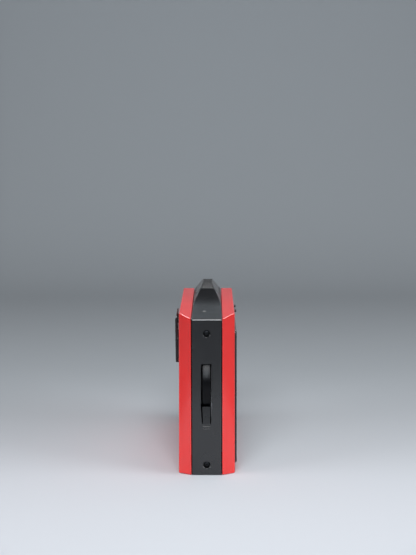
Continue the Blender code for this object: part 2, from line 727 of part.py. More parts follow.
def motor_pulley(brass):
    """Flanged pulley on the motor's shaft."""
    flange = PULLEY_RADIUS + 1.2
    profile = (
        (-9.2, flange), (BELT_X[0] - GAP, flange), (BELT_X[0] - GAP, PULLEY_RADIUS),
        (BELT_X[1] + GAP, PULLEY_RADIUS), (BELT_X[1] + GAP, flange), (-5.6, flange))
    pulley = turned("X", (MOTOR_Y, MOTOR_Z), profile, 12, 0.85)
    return finish(pulley, "motor_pulley", brass, (0, MOTOR_Y, MOTOR_Z))


def belt_outline(extra):
    """Outline of a belt round the pulley and the flywheel, its surface at a distance from them."""
    small = Vector((MOTOR_Y, MOTOR_Z))
    large = Vector((CAPSTAN_Y, CAPSTAN_Z))
    run = large - small
    heading = math.atan2(run.y, run.x)
    lean = math.acos((FLYWHEEL_RADIUS - PULLEY_RADIUS) / run.length)
    points = []
    for centre, radius, first, last, steps in (
            (large, FLYWHEEL_RADIUS, heading + lean - math.pi, heading - lean + math.pi, 14),
            (small, PULLEY_RADIUS, heading - lean + math.pi, heading + lean + math.pi, 6)):
        for step in range(steps + 1):
            angle = first + (last - first) * step / steps
            reach = radius + extra
            points.append((centre.x + reach * math.cos(angle), centre.y + reach * math.sin(angle)))
    return points


def drive_belt(rubber):
    """Flat belt from the motor pulley to the flywheel."""
    inner = belt_outline(GAP)
    outer = belt_outline(GAP + BELT_THICKNESS)
    return finish(frame_prism(outer, inner, "X", *BELT_X), "drive_belt", rubber)


def flywheel(steel):
    """Flywheel with the capstan shaft and the drive pinion, in one."""
    profile = (
        (-10.2, CAPSTAN_RADIUS), (FLYWHEEL_X[0], CAPSTAN_RADIUS), (FLYWHEEL_X[0], FLYWHEEL_RADIUS),
        (FLYWHEEL_X[1], FLYWHEEL_RADIUS), (FLYWHEEL_X[1], 3.0), (DRIVE_X[0], 3.0),
        (DRIVE_X[0], PINION_RADIUS), (DRIVE_X[1], PINION_RADIUS), (DRIVE_X[1], CAPSTAN_RADIUS),
        (15.0, CAPSTAN_RADIUS))
    wheel = turned("X", (CAPSTAN_Y, CAPSTAN_Z), profile, 28)
    return finish(wheel, "flywheel", steel, (0, CAPSTAN_Y, CAPSTAN_Z))


def capstan_bearing(brass):
    """Flanged bush in the plate for the capstan shaft."""
    profile = (
        (2.5, 2.6), (PLATE_X[1] + GAP, 2.6), (PLATE_X[1] + GAP, 3.8), (4.9, 3.8),
        (4.9, 2.4), (6.2, 2.4))
    return finish(turned("X", (CAPSTAN_Y, CAPSTAN_Z), profile, 28, 1.1), "capstan_bearing", brass)


def reel_spindle(name, y, black):
    """Disc behind the plate and a three-finned hub in the bay, in one."""
    profile = ((DRIVE_X[0], REEL_DISC_RADIUS), (DRIVE_X[1], REEL_DISC_RADIUS), (DRIVE_X[1], 2.0),
               (4.4, 2.0), (4.4, 3.2), (11.0, 3.2), (12.0, 2.0))
    spindle = turned("X", (y, REEL_Z), profile, 24)
    for fin in range(3):
        angle = 2 * math.pi * fin / 3 + math.pi / 2
        across = Vector((-math.sin(angle), math.cos(angle))) * 0.6
        centre = Vector((y, REEL_Z))
        outward = Vector((math.cos(angle), math.sin(angle)))
        outline = [
            centre + outward * 2.0 - across, centre + outward * 4.4 - across,
            centre + outward * 4.4 + across, centre + outward * 2.0 + across]
        fuse(spindle, prism(outline, "X", 5.0, 10.4))
    return finish(spindle, name, black, (0, y, REEL_Z))


def take_up_idler(rubber, steel):
    """Rubber-tyred wheel between the pinion and the take-up disc, and its pin."""
    reel = Vector((CASSETTE_Y + REEL_SPACING / 2, REEL_Z))
    capstan = Vector((CAPSTAN_Y, CAPSTAN_Z))
    line = reel - capstan
    slack = 0.25
    radius = (line.length - PINION_RADIUS - REEL_DISC_RADIUS - 2 * slack) / 2
    centre = capstan + line.normalized() * (PINION_RADIUS + slack + radius)
    wheel = turned("X", centre, ((DRIVE_X[0] + 0.3, radius), (DRIVE_X[1] - 0.3, radius)), 24, 1.0)
    finish(wheel, "take_up_idler", rubber, (0, centre.x, centre.y))
    pin = rod("X", centre, 0.88, DRIVE_X[0] - 0.4, PLATE_X[0] - GAP, 12)
    finish(pin, "idler_pin", steel)


def head_plate(steel):
    """Sliding plate in front of the chassis that carries the head and the pinch roller."""
    outline = (
        (-6, 77), (23, 77), (24.5, 79), (36, 79), (40, 83), (40, 87.5), (-6, 87.5))
    plate = prism(outline, "X", *HEAD_PLATE_X)
    return finish(plate, "head_plate", steel)


def playback_head(chrome):
    """Head with a domed face towards the tape."""
    half = 6.0
    centre_z = 84.0
    radius = 10.0
    face = []
    for step in range(9):
        across = -half + 2 * half * step / 8
        face.append((CASSETTE_Y + across, centre_z + 2.0 - math.sqrt(radius ** 2 - across ** 2)))
    outline = [(CASSETTE_Y + half, centre_z + 2.6), (CASSETTE_Y - half, centre_z + 2.6)] + face
    return finish(prism(outline, "X", HEAD_PLATE_X[1] + GAP, 14.2), "playback_head", chrome)


def pinch_assembly(steel, rubber):
    """Fork on the head plate with the pinch roller on its pin."""
    y = CAPSTAN_Y
    low_x = HEAD_PLATE_X[1] + GAP
    fork = block((low_x, 14.4), (y - 3, y + 3), (85.2, 86.4))
    fuse(fork, block((low_x, low_x + 0.8), (y - 3, y + 3), (ROLLER_Z - 2.0, 86.0)))
    fuse(fork, block((13.6, 14.4), (y - 3, y + 3), (ROLLER_Z - 2.0, 86.0)))
    cut(fork, rod("X", (y, ROLLER_Z), 1.0, 4.0, 16.0, 12))
    finish(fork, "pinch_roller_arm", steel)
    finish(rod("X", (y, ROLLER_Z), 0.85, low_x + 0.1, 14.3, 12), "pinch_roller_pin", steel)
    roller = turned("X", (y, ROLLER_Z), ((6.7, ROLLER_RADIUS), (13.2, ROLLER_RADIUS)), 20, 1.0)
    finish(roller, "pinch_roller", rubber, (0, y, ROLLER_Z))


# ---- Power and board -----------------------------------------------------------------------
def battery_box(black):
    """Open tray for two cells side by side."""
    tray = block(BOX_X, BOX_Y, BOX_Z)
    inside_y = (BOX_Y[0] + BOX_WALL, BOX_Y[1] - BOX_WALL)
    inside_z = (BOX_Z[0] + BOX_WALL, BOX_Z[1] - BOX_WALL)
    cut(tray, block((BOX_X[0] - 2, BOX_X[1] - BOX_WALL), inside_y, inside_z))
    return finish(tray, "battery_box", black)


def battery_contacts(steel):
    """Spring contact at one end of the tray and a plate at the other."""
    z_range = (BOX_Z[0] + 2.0, BOX_Z[1] - 2.0)
    low = BOX_Y[0] + BOX_WALL + GAP
    spring = block((-14.5, -3.5), (low, low + 0.4), z_range)
    for z in (12.0, 27.5):
        cone = ((low + 0.2, 3.6), (low + 1.2, 3.4), (low + 2.2, 2.4), (low + 3.0, 1.2))
        fuse(spring, turned("Y", (-9.2, z), cone, 10))
    finish(spring, "battery_spring_contact", steel)
    high = BOX_Y[1] - BOX_WALL - GAP
    plate = block((-14.5, -3.5), (high - 0.4, high), z_range)
    finish(plate, "battery_plate_contact", steel)


def battery_lid(red):
    """Cover on the rear that slides off over the far end."""
    lid = block(LID_X, (LID_Y, FAR), LID_Z)
    for rib in range(5):
        y = LID_Y + 8.0 + 2.2 * rib
        cut(lid, block((LID_X[0] - 1, LID_X[0] + 0.5), (y, y + 1.0), (LID_Z[0] + 8, LID_Z[1] - 8)))
    return finish(lid, "battery_lid", red, (-FACE_X, LID_Y, sum(LID_Z) / 2))


def circuit_board(green, black, blue):
    """Board behind the flywheel, with an amplifier chip and a capacitor."""
    outline = ((-52, 4), (0, 4), (0, 38), (56, 38), (56, 84), (-52, 84))
    finish(prism(outline, "X", *BOARD_X), "circuit_board", green)
    chip_x = (BOARD_X[1] + GAP, BOARD_X[1] + 2.6)
    finish(block(chip_x, (-40, -22), (22, 29)), "amplifier_chip", black)
    profile = ((BOARD_X[1] + GAP, 3.0), (BOARD_X[1] + 7.5, 3.0), (BOARD_X[1] + 8.0, 2.6))
    finish(turned("X", (-12, 18), profile, 12), "board_capacitor", blue)


# ---- Build ---------------------------------------------------------------------------------
def main():
    """Model every piece."""
    for old in list(bpy.data.objects):
        bpy.data.objects.remove(old)

    red = material("red_plastic", (0.75, 0.035, 0.03), 0.22)
    charcoal = material("charcoal_plastic", (0.04, 0.04, 0.045), 0.45)
    black = material("black_plastic", (0.012, 0.012, 0.014), 0.3)
    gloss_black = material("gloss_black_plastic", (0.006, 0.006, 0.008), 0.12)
    smoke = material("smoked_window", (0.03, 0.03, 0.035), 0.08)
    steel = material("bright_steel", (0.6, 0.6, 0.62), 0.3, 1.0)
    dark_steel = material("blackened_steel", (0.05, 0.05, 0.055), 0.35, 1.0)
    chrome = material("polished_metal", (0.8, 0.8, 0.82), 0.1, 1.0)
    brass = material("brass", (0.75, 0.58, 0.25), 0.3, 1.0)
    rubber = material("black_rubber", (0.02, 0.02, 0.02), 0.8)
    lamp_red = material("lamp_lens", (0.5, 0.06, 0.05), 0.15)
    green = material("board_green", (0.03, 0.2, 0.08), 0.4)
    blue = material("capacitor_sleeve", (0.05, 0.1, 0.35), 0.35)

    centre_band(charcoal)
    front_shell(red)
    rear_shell(red)
    cassette_door(black)
    door_window(smoke)
    cassette_holder(steel)
    door_hinge_pins(steel)
    door_catch_spring(steel)
    for index in range(len(KEY_NAMES)):
        key(index, charcoal)
        key_spring(index, steel)
    key_bracket(steel)
    volume_wheel(gloss_black)
    volume_control(black)
    for name, y, length in SWITCHES:
        slide_switch(name, y, length, black, steel)
    power_lamp(lamp_red)
    headphone_jack(black)
    belt_clip(black)
    clip_bracket(dark_steel)
    clip_pin(steel)
    clip_spring(steel)
    chassis_plate(steel)
    chassis_screws(steel)
    end_screws(dark_steel)
    motor(steel)
    motor_pulley(brass)
    drive_belt(rubber)
    flywheel(steel)
    capstan_bearing(brass)
    reel_spindle("supply_spindle", CASSETTE_Y - REEL_SPACING / 2, black)
    reel_spindle("take_up_spindle", CASSETTE_Y + REEL_SPACING / 2, black)
    take_up_idler(rubber, steel)
    head_plate(steel)
    playback_head(chrome)
    pinch_assembly(steel, rubber)
    battery_box(black)
    battery_contacts(steel)
    battery_lid(red)
    circuit_board(green, black, blue)


main()
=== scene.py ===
"""Looks of the personal cassette player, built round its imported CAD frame.

Lengths in this file are millimetres unless a comment says metres, and MM turns them into metres.
X runs through the thickness (door on +X, belt clip on -X), Y along the depth (wheel end at -Y), Z up.
"""
import math

import bmesh
import bpy
from mathutils import Matrix, Vector


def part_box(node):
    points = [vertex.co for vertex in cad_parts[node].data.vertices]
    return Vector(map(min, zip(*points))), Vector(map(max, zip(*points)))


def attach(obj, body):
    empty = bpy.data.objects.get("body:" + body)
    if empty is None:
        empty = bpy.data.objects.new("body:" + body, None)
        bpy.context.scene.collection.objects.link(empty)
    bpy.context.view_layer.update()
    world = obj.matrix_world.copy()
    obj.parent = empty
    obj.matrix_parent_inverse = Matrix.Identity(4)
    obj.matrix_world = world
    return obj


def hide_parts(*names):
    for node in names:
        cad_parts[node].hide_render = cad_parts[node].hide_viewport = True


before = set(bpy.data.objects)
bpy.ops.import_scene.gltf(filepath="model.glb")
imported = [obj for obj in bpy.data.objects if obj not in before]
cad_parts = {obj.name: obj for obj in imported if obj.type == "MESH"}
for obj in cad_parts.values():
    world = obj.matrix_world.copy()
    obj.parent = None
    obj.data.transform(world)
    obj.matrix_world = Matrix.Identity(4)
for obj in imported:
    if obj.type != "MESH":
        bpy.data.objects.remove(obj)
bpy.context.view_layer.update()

MM = 0.001


def extent(node):
    """Lowest and highest corner of a CAD node, in millimetres."""
    low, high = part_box(node)
    return low / MM, high / MM


def middle_of(node, plane):
    """Middle of a CAD node on the two axes of a plane, such as "yz"."""
    low, high = extent(node)
    return tuple((getattr(low, axis) + getattr(high, axis)) / 2 for axis in plane)


# ---- Driving dimensions, from the frame -----------------------------------------------------
BAND_LOW, BAND_HIGH = extent("centre_frame")
SHELL_LOW, SHELL_HIGH = extent("front_shell")
DOOR_LOW, DOOR_HIGH = extent("cassette_door")
WINDOW_LOW, WINDOW_HIGH = extent("door_window")
HINGE_NEAR_LOW, HINGE_NEAR_HIGH = extent("door_hinge_pin_near")
HINGE_FAR_LOW, HINGE_FAR_HIGH = extent("door_hinge_pin_far")
WHEEL_LOW, WHEEL_HIGH = extent("volume_wheel")
LID_LOW, LID_HIGH = extent("battery_lid")
CLIP_LOW, CLIP_HIGH = extent("belt_clip")

NEAR = BAND_LOW.y
FAR = BAND_HIGH.y
DEPTH = FAR - NEAR
BODY_TOP = SHELL_HIGH.z
BAND_X = BAND_HIGH.x
SHELL_X = SHELL_LOW.x
FACE_X = SHELL_HIGH.x
GAP = SHELL_X - BAND_X
BAND_WALL = 2.2
SHELL_WALL = 1.8

# ---- Shape of the bevels, the hump and the openings -----------------------------------------
BEVEL_TOP = 20.6            # set-back of the shells' near edge at the top
BEVEL_FOOT = 4.1            # and at the bottom
HUMP_START = 45.0
HUMP_RIM = 88.1
HUMP_RIM_HEIGHT = 6.0
RIM_ROUNDING = 0.9          # length of the rounded edge at the ramp's rim
RIM_DROP = 0.35
HUMP_SUMMIT = 111.5
HUMP_SUMMIT_HEIGHT = 7.6
HUMP_END = 120.8
FLANK = 0.838               # how far the hump's flanks lean in for each millimetre of height
RAMP_POWER = 2.1
WELL_HALF = 8.9             # half widths of the key well and of a key
KEY_HALF = 8.6
KEY_SKIRT = 5.0             # how far a key cap's sides reach down below the band's top
KNURL_PITCH = 2.5
KNURL_DEPTH = 0.45
BAND_EDGE = 0.35            # chamfer along the band's long top edges
END_RADIUS = 1.05           # rounding of the band's near and far edges
SHELL_RADIUS = 0.9          # rounding of the shells' outer edges
SEAM_RADIUS = 0.3           # rounding of the edges at the seams
SLOT_X = (-3.6, 3.2)
SLOT_Z = (49.6, 76.7)
SCOOP_FOOT = 35.6
SCOOP_DEPTH = 1.5
SCOOP_END_DEPTH = 0.12
SCOOP_END_X = (-2.9, 2.5)
GROOVE_DEPTH = 3.2
TICKS = ((34.0, 0.5), (32.4, 0.3))      # height and depth of the marks under the ramp
DOOR_GAP = 0.4
DOOR_FOOT_GAP = 0.9
DOOR_EDGE = 1.3
DOOR_BACK = 17.7            # X of the door panel's inner face
HINGE_HOLE = 0.8            # radii of the holes for the door's pins and the clip's pin
CLIP_PIN_HOLE = 0.5
CLIP_INNER = -21.2          # X of the clip plate's inner face
KNUCKLE_RADIUS = 0.95
SWITCH_TRAVEL = 3.0
SCREW_BOSS = 5.0
LEDGES = (((-50, 50), (1.0, 8.0)), ((-56, -40), (98.0, 106.1)), ((-8, 18), (98.0, 106.1)))
CHASSIS_SCREWS = tuple("chassis_screw_%d" % number for number in (1, 2, 3, 4))
KEYS = ("play_key", "stop_key", "fast_forward_key")
END_SCREWS = ("near_screw_upper", "near_screw_lower", "far_screw_upper", "far_screw_lower")


# ---- Mesh tools -----------------------------------------------------------------------------
def solid_from(bm):
    """Link a bmesh as an object; its coordinates stay in millimetres until finish_piece."""
    bmesh.ops.recalc_face_normals(bm, faces=bm.faces)
    mesh = bpy.data.meshes.new("piece")
    bm.to_mesh(mesh)
    bm.free()
    made = bpy.data.objects.new("piece", mesh)
    bpy.context.scene.collection.objects.link(made)
    return made


def loft(rings, looped=False):
    """Skin rings of equal length; the ends are closed unless the rings form a loop."""
    bm = bmesh.new()
    rows = [[bm.verts.new(point) for point in ring] for ring in rings]
    count = len(rows[0])
    pairs = list(zip(rows, rows[1:]))
    if looped:
        pairs.append((rows[-1], rows[0]))
    for row, following in pairs:
        for i in range(count):
            j = (i + 1) % count
            bm.faces.new((row[i], row[j], following[j], following[i]))
    if not looped:
        bm.faces.new(rows[0])
        bm.faces.new(rows[-1])
    return solid_from(bm)


def lift(axis, along, point):
    """A 3-D point from a place along an axis and a point of an outline on the other two axes."""
    u, v = point
    if axis == "X":
        return (along, u, v)
    if axis == "Y":
        return (u, along, v)
    return (u, v, along)


def ring(axis, along, outline):
    """An outline's points in 3-D, at a place along an axis."""
    return [lift(axis, along, point) for point in outline]


def rectangle(u, v):
    """Counter-clockwise corners of a rectangle from its two ranges."""
    return ((u[0], v[0]), (u[1], v[0]), (u[1], v[1]), (u[0], v[1]))


def grown(corners, amount):
    """Counter-clockwise corners with every side moved outwards."""
    moved = []
    for i, corner in enumerate(corners):
        here = Vector(corner)
        inward = (here - Vector(corners[i - 1])).normalized()
        onward = (Vector(corners[(i + 1) % len(corners)]) - here).normalized()
        first = Vector((inward.y, -inward.x))
        second = Vector((onward.y, -onward.x))
        moved.append(tuple(here + (first + second) * amount / (1 + first.dot(second))))
    return moved


def arcs(corners, radius, steps=4):
    """Outline with every corner rounded by an arc; radius is one value or one for each corner."""
    count = len(corners)
    radii = radius if isinstance(radius, (list, tuple)) else [radius] * count
    outline = []
    for i, corner in enumerate(corners):
        here = Vector(corner)
        back = Vector(corners[i - 1]) - here
        ahead = Vector(corners[(i + 1) % count]) - here
        half = back.angle(ahead) / 2
        reach = min(radii[i] / math.tan(half), 0.48 * back.length, 0.48 * ahead.length)
        size = reach * math.tan(half)
        bisector = (back.normalized() + ahead.normalized()).normalized()
        centre = here + bisector * (size / math.sin(half))
        first = here + back.normalized() * reach - centre
        last = here + ahead.normalized() * reach - centre
        sweep = math.pi - 2 * half
        for step in range(steps + 1):
            t = step / steps
            spoke = first * math.sin((1 - t) * sweep) + last * math.sin(t * sweep)
            outline.append(tuple(centre + spoke / math.sin(sweep)))
    return outline


def rounding(radius, steps):
    """Pairs (distance in from an end face, inset of the outline) that round an edge, face first."""
    angles = [math.pi / 2 * step / steps for step in range(steps + 1)]
    return [(radius * (1 - math.sin(a)), radius * (1 - math.cos(a))) for a in reversed(angles)]


def rounded_run(start, end, radius, steps, between=()):
    """Pairs (place, inset) from start to end, rounded at both ends, with plain places between."""
    run = [(start + away, inset) for away, inset in rounding(radius, steps)]
    run += [(place, 0.0) for place in between]
    return run + [(end - away, inset) for away, inset in reversed(rounding(radius, steps))]


def slab(axis, start, end, corners, corner_radius, edge_radius):
    """A plate along an axis with rounded corners, and with rounded edges at both faces."""
    rings = []
    for along, inset in rounded_run(start, end, edge_radius, 3):
        radius = max(corner_radius - inset, 0.05)
        rings.append(ring(axis, along, arcs(grown(corners, -inset), radius)))
    return loft(rings)


def prism(axis, start, end, outline):
    """An outline extruded along an axis."""
    return loft([ring(axis, along, outline) for along in (start, end)])


def block(x, y, z):
    """A box from three ranges, used as a tool."""
    return prism("Z", z[0], z[1], rectangle(x, y))


def circle(centre, radius, segments):
    """Points of a circle round a centre."""
    turns = [2 * math.pi * i / segments for i in range(segments)]
    return [(centre[0] + radius * math.cos(t), centre[1] + radius * math.sin(t)) for t in turns]


def turned(axis, centre, profile, segments, bore=None):
    """A profile of (place along the axis, radius) turned about an axis, with an optional bore."""
    rows = list(profile)
    if bore is not None:
        rows += [(profile[-1][0], bore), (profile[0][0], bore)]
    rings = [ring(axis, along, circle(centre, radius, segments)) for along, radius in rows]
    return loft(rings, looped=bore is not None)


def cylinder(axis, centre, start, end, radius, segments):
    """A plain rod, used as a boss, a knuckle or the cutter of a pin hole."""
    return turned(axis, centre, ((start, radius), (end, radius)), segments)


def flared(axis, corners, radius, mouth, steps=4):
    """Cutter for an opening; mouth pairs places along the axis with how much wider it is there."""
    rings = []
    for along, grow in mouth:
        rings.append(ring(axis, along, arcs(grown(corners, grow), radius + grow, steps)))
    return loft(rings)


def border(axis, start, end, outer, inner):
    """The strip between two outlines with equally many points, extruded along an axis."""
    rows = ((outer, start), (outer, end), (inner, end), (inner, start))
    return loft([ring(axis, along, outline) for outline, along in rows], looped=True)


def combine(target, tool, operation):
    """Apply one exact Boolean and remove the tool."""
    modifier = target.modifiers.new("boolean", "BOOLEAN")
    modifier.operation = operation
    modifier.solver = "EXACT"
    modifier.object = tool
    graph = bpy.context.evaluated_depsgraph_get()
    result = bpy.data.meshes.new_from_object(target.evaluated_get(graph))
    target.modifiers.clear()
    target.data = result
    bpy.data.objects.remove(tool)


def cut(target, *tools):
    """Take tools away from an object."""
    for tool in tools:
        combine(target, tool, "DIFFERENCE")
    return target


def fuse(target, *tools):
    """Join tools to an object."""
    for tool in tools:
        combine(target, tool, "UNION")
    return target


def softened(target, width, angle=30):
    """Round the edges of a simple solid with an applied bevel."""
    modifier = target.modifiers.new("bevel", "BEVEL")
    modifier.width = width
    modifier.segments = 2
    modifier.limit_method = "ANGLE"
    modifier.angle_limit = math.radians(angle)
    graph = bpy.context.evaluated_depsgraph_get()
    result = bpy.data.meshes.new_from_object(target.evaluated_get(graph))
    target.modifiers.clear()
    target.data = result
    return target


def finish_piece(piece, name, body, material, slot, *replaced):
    """Scale a piece to metres, name it, shade it, and tie it to its body and CAD nodes; slot is not used.
    """
    piece.data.transform(Matrix.Scale(MM, 4))
    piece.name = name
    piece.data.name = name
    piece.data.materials.clear()
    piece.data.materials.append(material)
    piece.data.shade_smooth()
    piece.data.set_sharp_from_angle(angle=math.radians(32))
    weighted = piece.modifiers.new("weighted_normals", "WEIGHTED_NORMAL")
    weighted.keep_sharp = True
    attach(piece, body)
    if replaced:
        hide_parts(*replaced)


# ---- Materials ------------------------------------------------------------------------------
def linked(tree, kind, sockets=None, **settings):
    """Add a node, set its settings, and fill its inputs with values or with other nodes' outputs."""
    made = tree.nodes.new(kind)
    for key, value in settings.items():
        setattr(made, key, value)
    for key, value in (sockets or {}).items():
        if isinstance(value, bpy.types.NodeSocket):
            tree.links.new(value, made.inputs[key])
        else:
            made.inputs[key].default_value = value
    return made


def mixed(tree, factor, first, second):
    """Mix of two colours, each a value or another node's output."""
    made = linked(tree, "ShaderNodeMix", {"Factor": factor, "A": first, "B": second}, data_type="RGBA")
    return made.outputs["Result"]


def mapped(tree, value, start, end, low=0.0, high=1.0, kind="LINEAR"):
    """A value's range from start to end mapped to low and high."""
    made = linked(tree, "ShaderNodeMapRange", {
        "Value": value, "From Min": start, "From Max": end, "To Min": low, "To Max": high},
        interpolation_type=kind)
    return made.outputs["Result"]


def surface(name, colour, roughness, metallic=0.0, grain=3000.0, relief=0.006, mottle=0.06,
            smudge=0.07, stretch=(1, 1, 1), scratches=0.0, **constants):
    """A plastic, metal or rubber: grain in the relief, uneven colour, smudges and fine scratches."""
    made = bpy.data.materials.new(name)
    made.use_nodes = True
    tree = made.node_tree
    shader = tree.nodes["Principled BSDF"]
    shader.inputs["Metallic"].default_value = metallic
    for key, value in constants.items():
        shader.inputs[key.replace("_", " ")].default_value = value
    place = linked(tree, "ShaderNodeTexCoord").outputs["Object"]
    scaled = linked(tree, "ShaderNodeMapping", {"Vector": place, "Scale": stretch}).outputs["Vector"]
    fine = linked(tree, "ShaderNodeTexNoise", {"Vector": scaled, "Scale": grain, "Detail": 5.0})
    broad = linked(tree, "ShaderNodeTexNoise", {
        "Vector": place, "Scale": 55.0, "Detail": 6.0, "Roughness": 0.6}).outputs["Fac"]
    height = fine.outputs["Fac"]
    if scratches:
        lines = linked(tree, "ShaderNodeMapping", {
            "Vector": place, "Scale": (1.0, 1.0, 0.02), "Rotation": (0.35, 0.2, 0.1)}).outputs["Vector"]
        hair = linked(tree, "ShaderNodeTexNoise", {"Vector": lines, "Scale": 2600.0, "Detail": 2.0})
        ridge = mapped(tree, hair.outputs["Fac"], 0.66, 0.72, 0.0, scratches)
        marked = linked(tree, "ShaderNodeMath", {0: height, 1: ridge}, operation="SUBTRACT")
        height = marked.outputs["Value"]
    bump = linked(tree, "ShaderNodeBump", {"Height": height, "Strength": 1.0, "Distance": relief * MM})
    tree.links.new(bump.outputs["Normal"], shader.inputs["Normal"])
    dark = tuple(channel * (1 - mottle) for channel in colour)
    light = tuple(min(1.0, channel * (1 + mottle)) for channel in colour)
    tree.links.new(mixed(tree, broad, (*dark, 1.0), (*light, 1.0)), shader.inputs["Base Color"])
    smoothest, roughest = max(0.02, roughness - smudge), min(1.0, roughness + smudge)
    tree.links.new(mapped(tree, broad, 0.3, 0.7, smoothest, roughest), shader.inputs["Roughness"])
    return made


def make_materials():
    """Every finish on the player."""
    made = {}
    made["red"] = surface(
        "red_plastic", (0.8, 0.02, 0.017), 0.14, grain=900.0, relief=0.002, mottle=0.03, smudge=0.04,
        scratches=0.2, Specular_IOR_Level=0.92)
    made["charcoal"] = surface(
        "charcoal_plastic", (0.0092, 0.0097, 0.0112), 0.26, grain=3600.0, relief=0.006, mottle=0.08,
        smudge=0.02, Specular_IOR_Level=0.8)
    made["key"] = surface(
        "key_plastic", (0.02, 0.021, 0.023), 0.3, grain=3600.0, relief=0.006, mottle=0.1, smudge=0.025)
    made["black"] = surface(
        "black_plastic", (0.012, 0.012, 0.014), 0.28, grain=2600.0, relief=0.006, mottle=0.08, smudge=0.02,
        scratches=0.2)
    made["gloss"] = surface(
        "gloss_black_plastic", (0.002, 0.002, 0.003), 0.3, grain=1200.0, relief=0.0015, mottle=0.2,
        smudge=0.03, scratches=0.1, Specular_IOR_Level=0.15)
    made["inner"] = surface(
        "inner_plastic", (0.01, 0.01, 0.011), 0.55, grain=2400.0, relief=0.02, mottle=0.15)
    made["steel"] = surface(
        "sheet_steel", (0.56, 0.56, 0.57), 0.3, metallic=1.0, grain=2200.0, relief=0.004, mottle=0.05,
        smudge=0.03, stretch=(1, 0.06, 1))
    made["turned"] = surface(
        "turned_steel", (0.6, 0.6, 0.61), 0.22, metallic=1.0, grain=2600.0, relief=0.003, mottle=0.06,
        smudge=0.04, stretch=(1, 1, 0.15))
    made["dark_steel"] = surface(
        "blackened_steel", (0.03, 0.031, 0.034), 0.42, metallic=1.0, grain=2400.0, relief=0.008, mottle=0.2,
        smudge=0.1)
    made["chrome"] = surface(
        "polished_metal", (0.78, 0.78, 0.8), 0.09, metallic=1.0, grain=1500.0, relief=0.001, mottle=0.03,
        smudge=0.04)
    made["brass"] = surface(
        "brass", (0.72, 0.52, 0.22), 0.26, metallic=1.0, grain=2200.0, relief=0.003, mottle=0.12,
        smudge=0.1)
    made["rubber"] = surface(
        "rubber", (0.018, 0.018, 0.018), 0.75, grain=4200.0, relief=0.02, mottle=0.25, smudge=0.1)
    made["lamp"] = surface(
        "lamp_lens", (0.12, 0.12, 0.115), 0.3, grain=900.0, relief=0.001, mottle=0.1, smudge=0.04)
    made["smoke"] = surface(
        "smoked_window", (0.16, 0.16, 0.17), 0.05, grain=500.0, relief=0.0006, mottle=0.02, smudge=0.005,
        Transmission_Weight=1.0)
    made["sleeve"] = surface(
        "capacitor_sleeve", (0.05, 0.1, 0.34), 0.34, grain=1600.0, relief=0.003, mottle=0.1)
    made["board"] = board_material()
    return made


def board_material():
    """Green solder mask over copper tracks, with tinned pads."""
    made = surface("board_green", (0.02, 0.16, 0.06), 0.38, grain=2400.0, relief=0.003)
    tree = made.node_tree
    shader = tree.nodes["Principled BSDF"]
    tint = shader.inputs["Base Color"].links[0].from_socket
    place = linked(tree, "ShaderNodeTexCoord").outputs["Object"]
    tracks = linked(tree, "ShaderNodeTexBrick", {
        "Vector": place, "Scale": 90.0, "Mortar Size": 0.03, "Color1": (0, 0, 0, 1), "Color2": (0, 0, 0, 1),
        "Mortar": (1, 1, 1, 1)})
    lighter = mixed(tree, tracks.outputs["Color"], tint, (0.07, 0.3, 0.1, 1.0))
    cells = linked(tree, "ShaderNodeTexVoronoi", {"Vector": place, "Scale": 240.0})
    pads = mapped(tree, cells.outputs["Distance"], 0.16, 0.12)
    tree.links.new(mixed(tree, pads, lighter, (0.5, 0.5, 0.48, 1.0)), shader.inputs["Base Color"])
    return made


# ---- Shared shapes --------------------------------------------------------------------------
def bevel_depth(z):
    """Set-back of the shells' near edge at a height."""
    return BEVEL_FOOT + (BEVEL_TOP - BEVEL_FOOT) * z / BODY_TOP


def hump_height(depth):
    """Height of the hump above the band's top, at a depth behind the near end."""
    if depth <= HUMP_RIM:
        ramp = max(0.0, (depth - HUMP_START) / (HUMP_RIM - HUMP_START))
        lip = max(0.0, (depth - HUMP_RIM + RIM_ROUNDING) / RIM_ROUNDING)
        return HUMP_RIM_HEIGHT * ramp ** RAMP_POWER - RIM_DROP * lip ** 2
    crown = (depth - HUMP_SUMMIT) / (HUMP_SUMMIT - HUMP_RIM)
    return HUMP_SUMMIT_HEIGHT - (HUMP_SUMMIT_HEIGHT - HUMP_RIM_HEIGHT) * crown ** 2


def end_recess(centre, outward):
    """Cutter for a recessed screw; centre is a point of the end face, outward is -1 or 1."""
    face = centre.y
    flare = 3.6
    profile = [(face + outward, flare + 0.4), (face, flare - 0.3), (face - outward * 0.06, 2.6)]
    profile += [(face - outward * 0.2, 2.42), (face - outward * 0.45, 2.3), (face - outward * 3.2, 2.3)]
    profile += [(face - outward * 3.2, 1.2), (face - outward * (SCREW_BOSS + 1), 1.2)]
    return turned("Y", (centre.x, centre.z), profile, 40)


def screw_places():
    """Centre on the end face and outward direction of every end screw."""
    places = {}
    for node in END_SCREWS:
        low, high = extent(node)
        outward = -1 if node.startswith("near") else 1
        places[node] = (Vector((0, outward * FAR, (low.z + high.z) / 2)), outward)
    return places


# ---- Casing ---------------------------------------------------------------------------------
def band_section(depth, inset):
    """Cross-section of the band at a depth, moved inwards by an inset."""
    height = hump_height(depth)
    crease = BAND_X - BAND_EDGE - FLANK * height
    corners = (
        (-BAND_X, 0), (BAND_X, 0), (BAND_X, BODY_TOP - BAND_EDGE), (crease, BODY_TOP + height),
        (-crease, BODY_TOP + height), (-BAND_X, BODY_TOP - BAND_EDGE))
    radii = [max(radius - inset, 0.06) for radius in (0.6, 0.6, 0.25, 0.4, 0.4, 0.25)]
    return arcs(grown(corners, -inset), radii)


